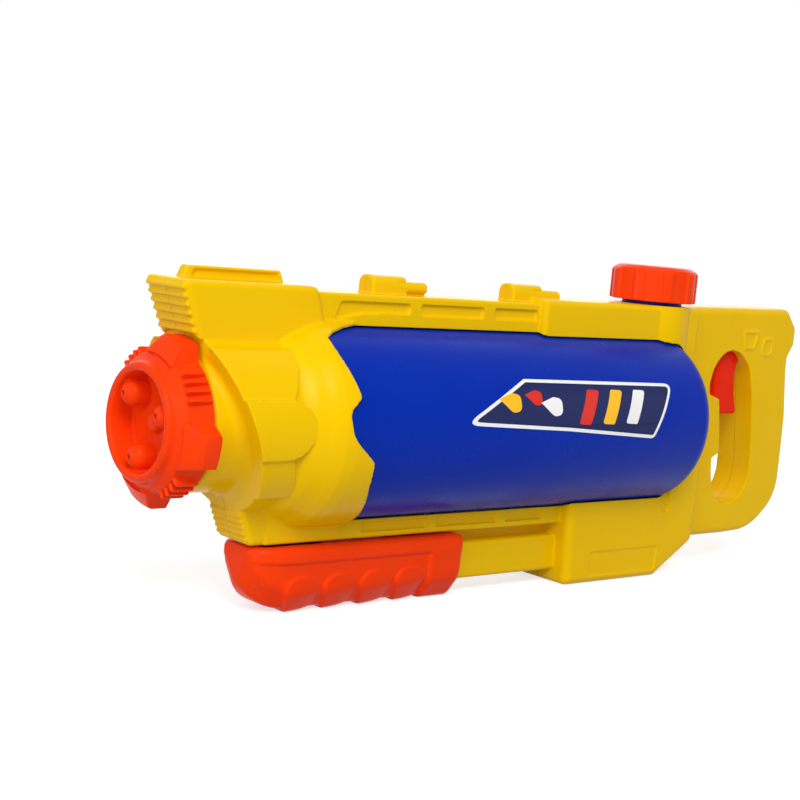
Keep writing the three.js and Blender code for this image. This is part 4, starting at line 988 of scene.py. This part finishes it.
@dataclass
class Head:
    """The turning head: a cup with three domed outlets, finger lugs and ribbed zones."""

    length: float = 20.0
    rim: float = 26.0
    radius: float = 33.0
    lug_radius: float = 39.5
    recess: float = 12.0
    floor_back: float = 15.0
    skirt_bore: float = 30.8
    seat: Point = (16.0, 24.8)
    outlet_circle: float = 16.5
    outlet_radius: float = 6.0
    first_lug: float = 78.0
    first_outlet: float = 17.0
    first_rib: float = 35.0
    outlets: int = 3
    lugs: int = 4
    ribs: int = 4

    def spot(self, radius: float, degrees: float) -> Point:
        """A point round the axis, with the angle counted from the left side upwards."""
        angle = math.radians(degrees)
        return -radius * math.cos(angle), AXIS_Z + radius * math.sin(angle)

    def around(self, count: int, first: float) -> list[float]:
        """Angles of a feature that repeats round the head."""
        return [first + 360 / count * step for step in range(count)]

    def wedge(self, middle: float, foot: float, tip: float, high: float) -> list[Corner]:
        """Section of a lug or rib: its foot, its narrower tip, and its height."""
        low = self.radius - 1.8
        steps = (-1.0, -0.5, 0.0, 0.5, 1.0)
        outer = [(*self.spot(high, middle + tip * k), 0.4) for k in steps]
        inner = [(*self.spot(low, middle + foot * k), 0.0) for k in reversed(steps)]
        return [*outer, *inner]

    def build(self) -> None:
        """Build the head."""
        rim, radius, back = self.rim, self.radius, self.length
        cup = along([
            (self.recess, 0), (self.recess, rim - 4.5), (1, rim - 3.4), (0.3, rim - 2.8), (0, rim - 2),
            (0, rim - 0.9), (0.4, rim), (1, rim + 0.6), (4, rim + 1.2), (6, radius - 3), (7, radius - 2),
            (back, radius), (back, self.skirt_bore), (self.seat[0], self.skirt_bore), self.seat,
            (self.floor_back, self.seat[1]), (self.floor_back, 0)])
        limit = along([
            (1.5, 0), (1.5, rim), (10, self.lug_radius - 1), (12, self.lug_radius),
            (back, self.lug_radius), (back, 0)])
        lugs = [bar(self.wedge(a, 21, 10, self.lug_radius + 1), 1.5, back)
                for a in self.around(self.lugs, self.first_lug)]
        spacing = 7.4
        for angle in self.around(self.lugs, self.first_rib):
            for step in range(self.ribs):
                place = angle + (step - (self.ribs - 1) / 2) * spacing
                lugs.append(bar(self.wedge(place, 2.2, 1.2, radius + 1.8), 7, back - 1, 0.8, 1.2))
        raised = lugs[0].add(*lugs[1:]).keep(limit)
        wide, foot = self.outlet_radius, self.floor_back - 1
        turns = quarter(CORNER_STEPS)[2:]
        curve = [(wide * (1 - math.cos(a)), wide * math.sin(a)) for a in turns]
        dome = [(0, 0), (0, wide * 0.3), *curve, (foot, wide), (foot, 0)]
        holes = [self.spot(self.outlet_circle, a) for a in self.around(self.outlets, self.first_outlet)]
        domes = [along(dome, y, z, SMALL_SIDES) for y, z in holes]
        jets = [along(rod(-1, 19, 1.3), y, z, SMALL_SIDES) for y, z in holes]
        behind = self.recess + 1
        cover = along([
            (8, 0), (8, 2.4), (8.3, 3.6), (9, 4.5), (10, 4.9), (behind, 5.2), (behind, 0)])
        screw_room = along(rod(9.1, self.recess, 3.7), sides=SMALL_SIDES)
        shank_room = along(rod(9.1, 19, 1.9), sides=SMALL_SIDES)
        head = cup.add(raised, cover, *domes).cut(*jets, screw_room, shank_room)
        head.moulded(0.4, 2, 0.3)
        head.piece("head_orange", ORANGE_PP, Rides.NOZZLE, ["nozzle_head"])
        screw = along([
            (9.5, 0), (9.5, 1.8), (9.9, 2.6), (10.6, 3.2), (11.7, 3.2), (11.7, 1.5), (20.8, 1.5), (20.8, 0)],
            sides=SMALL_SIDES)
        arms = ((1.6, 0.4), (0.4, 1.6))
        screw.cut(*[box((9, -a, AXIS_Z - b), (10.6, a, AXIS_Z + b)) for a, b in arms])
        screw.piece("head_screw", PLATED_STEEL, Rides.BODY, ["nozzle_screw"], sharp=30)


@dataclass
class Grip:
    """The sliding pump grip: a flanged trough with a bowed nose and four finger lobes."""

    start: float = 59.0
    length: float = 128.0
    half: float = 20.0
    top: float = 32.8
    flange_foot: float = 25.0
    lobe_start: float = 76.0
    pitch: float = 22.4
    lobes: int = 4
    panel: float = 1.3
    bow: float = 25.0
    bow_half: float = 8.0
    bow_rise: float = 19.0
    nose_end: float = 77.0
    pump_z: float = 17.25

    def ring(self, station: float, half: float, foot: float, top: float) -> list[Vector]:
        """Section of the trough's outside at a station."""
        flat = max(half - 8.5, 2)
        section = [
            (-flat, foot, 6), (flat, foot, 6), (half - 1, foot + 10.5, 9),
            (half, top, 1.5), (-half, top, 1.5), (1 - half, foot + 10.5, 9)]
        return [Vector((NOSE + station, y, z)) for y, z in rounded(section)]

    def bowed(self, turn: float, half: float) -> Point:
        """Station and half width of the nose's bow, at a turn of up to a right angle."""
        station = self.start + self.bow * (1 - math.cos(turn))
        return station, self.bow_half + (half - self.bow_half) * math.sin(turn)

    def hull(self) -> Solid:
        """The trough's outside at the depth of its side panels, from the bowed nose to the rear."""
        half, end = self.half - self.panel, self.start + self.length
        rings = []
        for turn in quarter(BOW_STEPS)[1:]:
            station, wide = self.bowed(turn, half)
            foot = self.panel + self.bow_rise * (1 - math.sin(turn))
            rings.append(self.ring(station - 0.3, wide, foot, self.top - 2))
        rings.append(self.ring(end - 3, half, self.panel, self.top - 2))
        return loft(rings)

    def flange(self) -> Solid:
        """The band round the trough's top edge."""
        end, foot, top = self.start + self.length, self.flange_foot, self.top
        plan = [
            (self.start, self.bow_half), *(self.bowed(turn, self.half) for turn in quarter(BOW_STEPS)[1:]),
            (end - 2.5, self.half), (end - 0.8, self.half - 0.6), (end, self.half - 2)]
        rings = []
        for station, half in plan:
            band = [(-half, foot, 2), (half, foot, 2), (half - 0.8, top, 4), (0.8 - half, top, 4)]
            rings.append([Vector((NOSE + station, y, z)) for y, z in rounded(band)])
        return loft(rings)

    def lobe(self, start: float) -> Solid:
        """A finger lobe: an arch in front that swells and falls away to the rear."""
        steps = (
            (0.0, 0.7), (0.7, 0.25), (1.8, 0.0), (5.0, 0.0), (10.0, 0.15), (15.0, 0.5), (19.0, 1.0),
            (self.pitch, 1.6))
        rings = [self.ring(start + step, self.half - taken, taken, self.flange_foot) for step, taken in steps]
        rear = start + self.pitch + 2
        arch = [
            (start + 9, -5), (start + 1.5, 8, 12), (start, 14, 9), (start + 5, 18.8, 8),
            (start + 14, 18.6, 12), (rear, 12, 4), (rear, -5)]
        return loft(rings).keep(plate(arch, self.half + 2))

    def build(self) -> None:
        """Build the grip."""
        end = self.start + self.length
        rear = self.lobe_start + self.pitch * self.lobes
        tail_steps = (
            (rear - 1, 1.2), (rear, 0.3), (rear + 1, 0.0), (end - 3.5, 0.0), (end - 1, 0.8), (end, 2.4))
        tail = loft([self.ring(x, self.half - taken, taken, self.top - 4) for x, taken in tail_steps])
        lobes = [self.lobe(self.lobe_start + self.pitch * step) for step in range(self.lobes)]
        grip = self.hull().add(self.flange(), tail, *lobes)
        half, past, high = 11 + FIT, end + 5, self.top + 5
        trough = bar(rectangle(-half, 7.1, half, 27.4, 2), self.nose_end, past)
        mouth = box((self.nose_end, -8, self.pump_z), (past, 8, high))
        hollow = [(-half, 20, 3), (half, 20, 3), (half, high), (-half, high)]
        scoop = bar(hollow, self.start + 8, self.nose_end + 25)
        rod_hole = along(rod(self.start + 15, end, 2.8), 0, self.pump_z, SMALL_SIDES)
        nut_room = along(rod(self.start + 8, self.start + 15, 5.4), 0, self.pump_z, 6)
        grip.cut(trough, mouth, scoop, rod_hole, nut_room).moulded(0.45, 4, 0.25)
        grip.piece("grip_orange", ORANGE_PP, Rides.PUMP, ["pump_grip"])


@dataclass
class Cap:
    """The screw cap on the filler neck, with broad ridges round it."""

    station: float = 335.0
    radius: float = 24.5
    ridge: float = 1.3
    ridges: int = 9
    foot: float = 157.0
    inner: float = 173.8
    top: float = 176.8
    bore: float = 17.8

    def build(self) -> None:
        """Build the cap."""
        root = self.radius - self.ridge
        crest = [(step, self.radius) for step in (-0.16, -0.08, 0, 0.08, 0.16)]
        valley = [(step, root) for step in (0.22, 0.36, 0.5, 0.64)]
        steps = [(-0.22, root), *crest, *valley]
        star = []
        for number in range(self.ridges):
            for step, radius in steps:
                angle = 2 * math.pi * (number + step) / self.ridges
                star.append((radius * math.cos(angle), radius * math.sin(angle)))
        levels = (self.foot, self.top)
        ridged = loft([[Vector((NOSE + self.station + x, y, z)) for x, y in star] for z in levels])
        envelope = upright([
            (self.foot, 0), (self.foot, self.radius - 0.8), (self.foot + 0.8, self.radius + FIT),
            (self.inner - 1, self.radius + FIT), (self.inner + 1, root), (self.top - 0.4, root - 2.5),
            (self.top, root - 5), (self.top, 0)], self.station)
        room = upright(rod(self.foot - WALL, self.inner, self.bore), self.station)
        cap = ridged.keep(envelope).cut(room).moulded(0.4, 2, 0.3)
        cap.piece("cap_orange", ORANGE_PP, Rides.CAP, ["filler_cap"])


@dataclass
class Trigger:
    """The red trigger: a finger blade under a hub, with an arm over the push rod."""

    pivot: Point = (414.0, 138.0)
    link_station: float = 375.5
    half: float = 6.5
    arm_half: float = 3.0
    foot: float = 91.5
    pin_hole: float = 2.2

    def build(self) -> None:
        """Build the trigger."""
        x, z = self.pivot
        blade = plate([
            (x - 17, 130.5, 4), (x - 21, 114.5, 20), (x - 19, self.foot, 3), (x + 3.2, self.foot, 2),
            (x - 1, 105, 14), (x - 3, 119, 10), (x + 4, 130, 4), (x + 6, z, 3), (x, z + 5, 4),
            (x - 6, z + 4, 4)], self.half, 2.0)
        reach, low = self.link_station - 3, z - 2.5
        arm = plate([(reach, low, 1), (x, low, 1), (x, z + 4, 1), (reach, z + 2, 1)], self.arm_half, 0.5)
        hole = across(rod(-self.half - 1, self.half + 1, self.pin_hole), x, z)
        lever = blade.add(arm).cut(hole).moulded(0.4, 2, 0.3)
        lever.piece("trigger_red", RED_PP, Rides.TRIGGER, ["trigger"])


@dataclass
class Spring:
    """The coil spring under the valve's spool."""

    station: float = 375.5
    foot: float = 24.6
    height: float = 13.9
    radius: float = 3.2
    wire: float = 0.5
    curls: int = 5
    curl_steps: int = 24
    wire_sides: int = 10
    keep: float = 0.6

    def build(self) -> None:
        """Build the spring."""
        up = Vector((0, 0, 1))
        steps = self.curls * self.curl_steps
        turns = [math.tau * side / self.wire_sides for side in range(self.wire_sides)]
        rings = []
        for step in range(steps + 1):
            angle = math.tau * step / self.curl_steps
            out = Vector((math.cos(angle), math.sin(angle), 0))
            rise = self.wire + (self.height - 2 * self.wire) * step / steps
            middle = Vector((NOSE + self.station, 0, self.foot + rise)) + self.radius * out
            rings.append([middle + self.wire * (math.cos(a) * up + math.sin(a) * out) for a in turns])
        coil = loft(rings).piece("spring_steel", PLATED_STEEL, Rides.BODY, ["valve_spring"])
        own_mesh(coil)


@dataclass
class Workings:
    """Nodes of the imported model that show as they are, and take their slot's finish."""

    packed: dict

    def build(self) -> None:
        """Dress every node with the finish of its slot."""
        for part in self.packed["record"]["subparts"]:
            thing = bpy.data.objects[part["node"]]
            thing.data.materials.clear()
            thing.data.materials.append(FINISH_OF_SLOT[part["material_slot"]].material())
            LOG.info("%s: dressed as %s", part["node"], part["material_slot"])


@dataclass
class Studio:
    """A pale floor, soft lights and the photograph's camera."""

    lens: float = 69.74
    camera_spot: tuple[float, float, float] = (-0.58369, -0.58138, 0.18424)
    right: tuple[float, float, float] = (0.7585, -0.6454, 0.0902)
    up: tuple[float, float, float] = (0.0026, 0.1414, 0.99)
    floor_half: float = 4.0

    def world(self) -> None:
        """White to the camera and in reflections, softer as a light."""
        world = bpy.data.worlds.new("studio")
        bpy.context.scene.world = world
        world.use_nodes = True
        tree = world.node_tree
        tree.nodes.clear()
        seen = self.seen(tree)
        shown = node(tree, "ShaderNodeBackground", Color=linear("#FFFFFF"), Strength=1.0)
        light = node(tree, "ShaderNodeBackground", Color=linear("#FFFFFF"), Strength=0.35)
        mixed = node(tree, "ShaderNodeMixShader", {0: seen, 1: light.outputs[0], 2: shown.outputs[0]})
        node(tree, "ShaderNodeOutputWorld", {"Surface": mixed.outputs[0]})

    def seen(self, tree: bpy.types.NodeTree) -> bpy.types.NodeSocket:
        """One where a ray comes from the camera, a reflection or through something."""
        path = node(tree, "ShaderNodeLightPath").outputs
        found = path["Is Camera Ray"]
        for ray in ("Is Glossy Ray", "Is Transmission Ray"):
            found = node(tree, "ShaderNodeMath", {0: found, 1: path[ray]}, operation="MAXIMUM").outputs[0]
        return found

    def floor(self) -> None:
        """A pale floor that keeps the squirter's shadow."""
        mesh = bpy.data.meshes.new("floor")
        reach = self.floor_half
        mesh.from_pydata(rectangle(-reach, -reach, reach, reach), [], [(0, 1, 2, 3)])
        thing = bpy.data.objects.new("floor", mesh)
        bpy.context.scene.collection.objects.link(thing)
        paint = bpy.data.materials.new("matt_white_paper")
        paint.use_nodes = True
        tree = paint.node_tree
        tree.nodes.clear()
        matt = node(tree, "ShaderNodeBsdfDiffuse", Color=linear("#CCCCCC"))
        lift = node(tree, "ShaderNodeEmission", {"Strength": self.seen(tree)}, Color=linear("#D6D6D6"))
        both = node(tree, "ShaderNodeAddShader", {0: matt.outputs[0], 1: lift.outputs[0]})
        node(tree, "ShaderNodeOutputMaterial", {"Surface": both.outputs[0]})
        mesh.materials.append(paint)

    def lamp(self, name: str, place: Sequence[float], strength: float, spread: float = 0.0,
             side: float = 0.0) -> None:
        """Add a soft lamp that points at the squirter.

        Args:
            name: lamp's name.
            place: where it hangs, or the direction that its light comes from.
            strength: brightness.
            spread: angle in degrees of a far broad light.
            side: width of a near square softbox, or none for a far light.
        """
        data = bpy.data.lights.new(name, "AREA" if side else "SUN")
        data.energy = strength
        if side:
            data.size = side
        else:
            data.angle = math.radians(spread)
        lamp = bpy.data.objects.new(name, data)
        lamp.location = place
        lamp.rotation_euler = (-Vector(place)).to_track_quat("-Z", "Y").to_euler()
        bpy.context.scene.collection.objects.link(lamp)

    def camera(self) -> None:
        """The camera that matches the photograph."""
        data = bpy.data.cameras.new("camera")
        data.lens = self.lens
        data.sensor_width = 36
        view = bpy.data.objects.new("camera", data)
        right, up = Vector(self.right).normalized(), Vector(self.up).normalized()
        back = right.cross(up).normalized()
        turn = Matrix((right, up, back)).transposed().to_4x4()
        view.matrix_world = Matrix.Translation(self.camera_spot) @ turn
        bpy.context.scene.collection.objects.link(view)
        bpy.context.scene.camera = view

    def build(self) -> None:
        """Build the studio."""
        bpy.context.scene.view_settings.view_transform = "Standard"
        self.world()
        self.floor()
        self.lamp("key", (-0.4, -0.8, 1.1), 0.8, spread=30)
        self.lamp("fill", (-1.0, -0.3, 0.08), 1.4, spread=60)
        self.lamp("back", (0.8, 0.9, 0.6), 0.8, spread=60)
        self.lamp("softbox", (-0.55, -0.75, 0.75), 5, side=0.5)
        self.camera()


def main() -> None:
    """Build the squirter and the studio."""
    logging.basicConfig(level=logging.INFO, format="%(name)s %(message)s")
    Workings(frame).build()
    tank = Tank()
    parts = (tank, Shells(tank), Head(), Grip(), Cap(), Trigger(), Spring(), Studio())
    for part in parts:
        part.build()


if __name__ == "__main__":
    main()
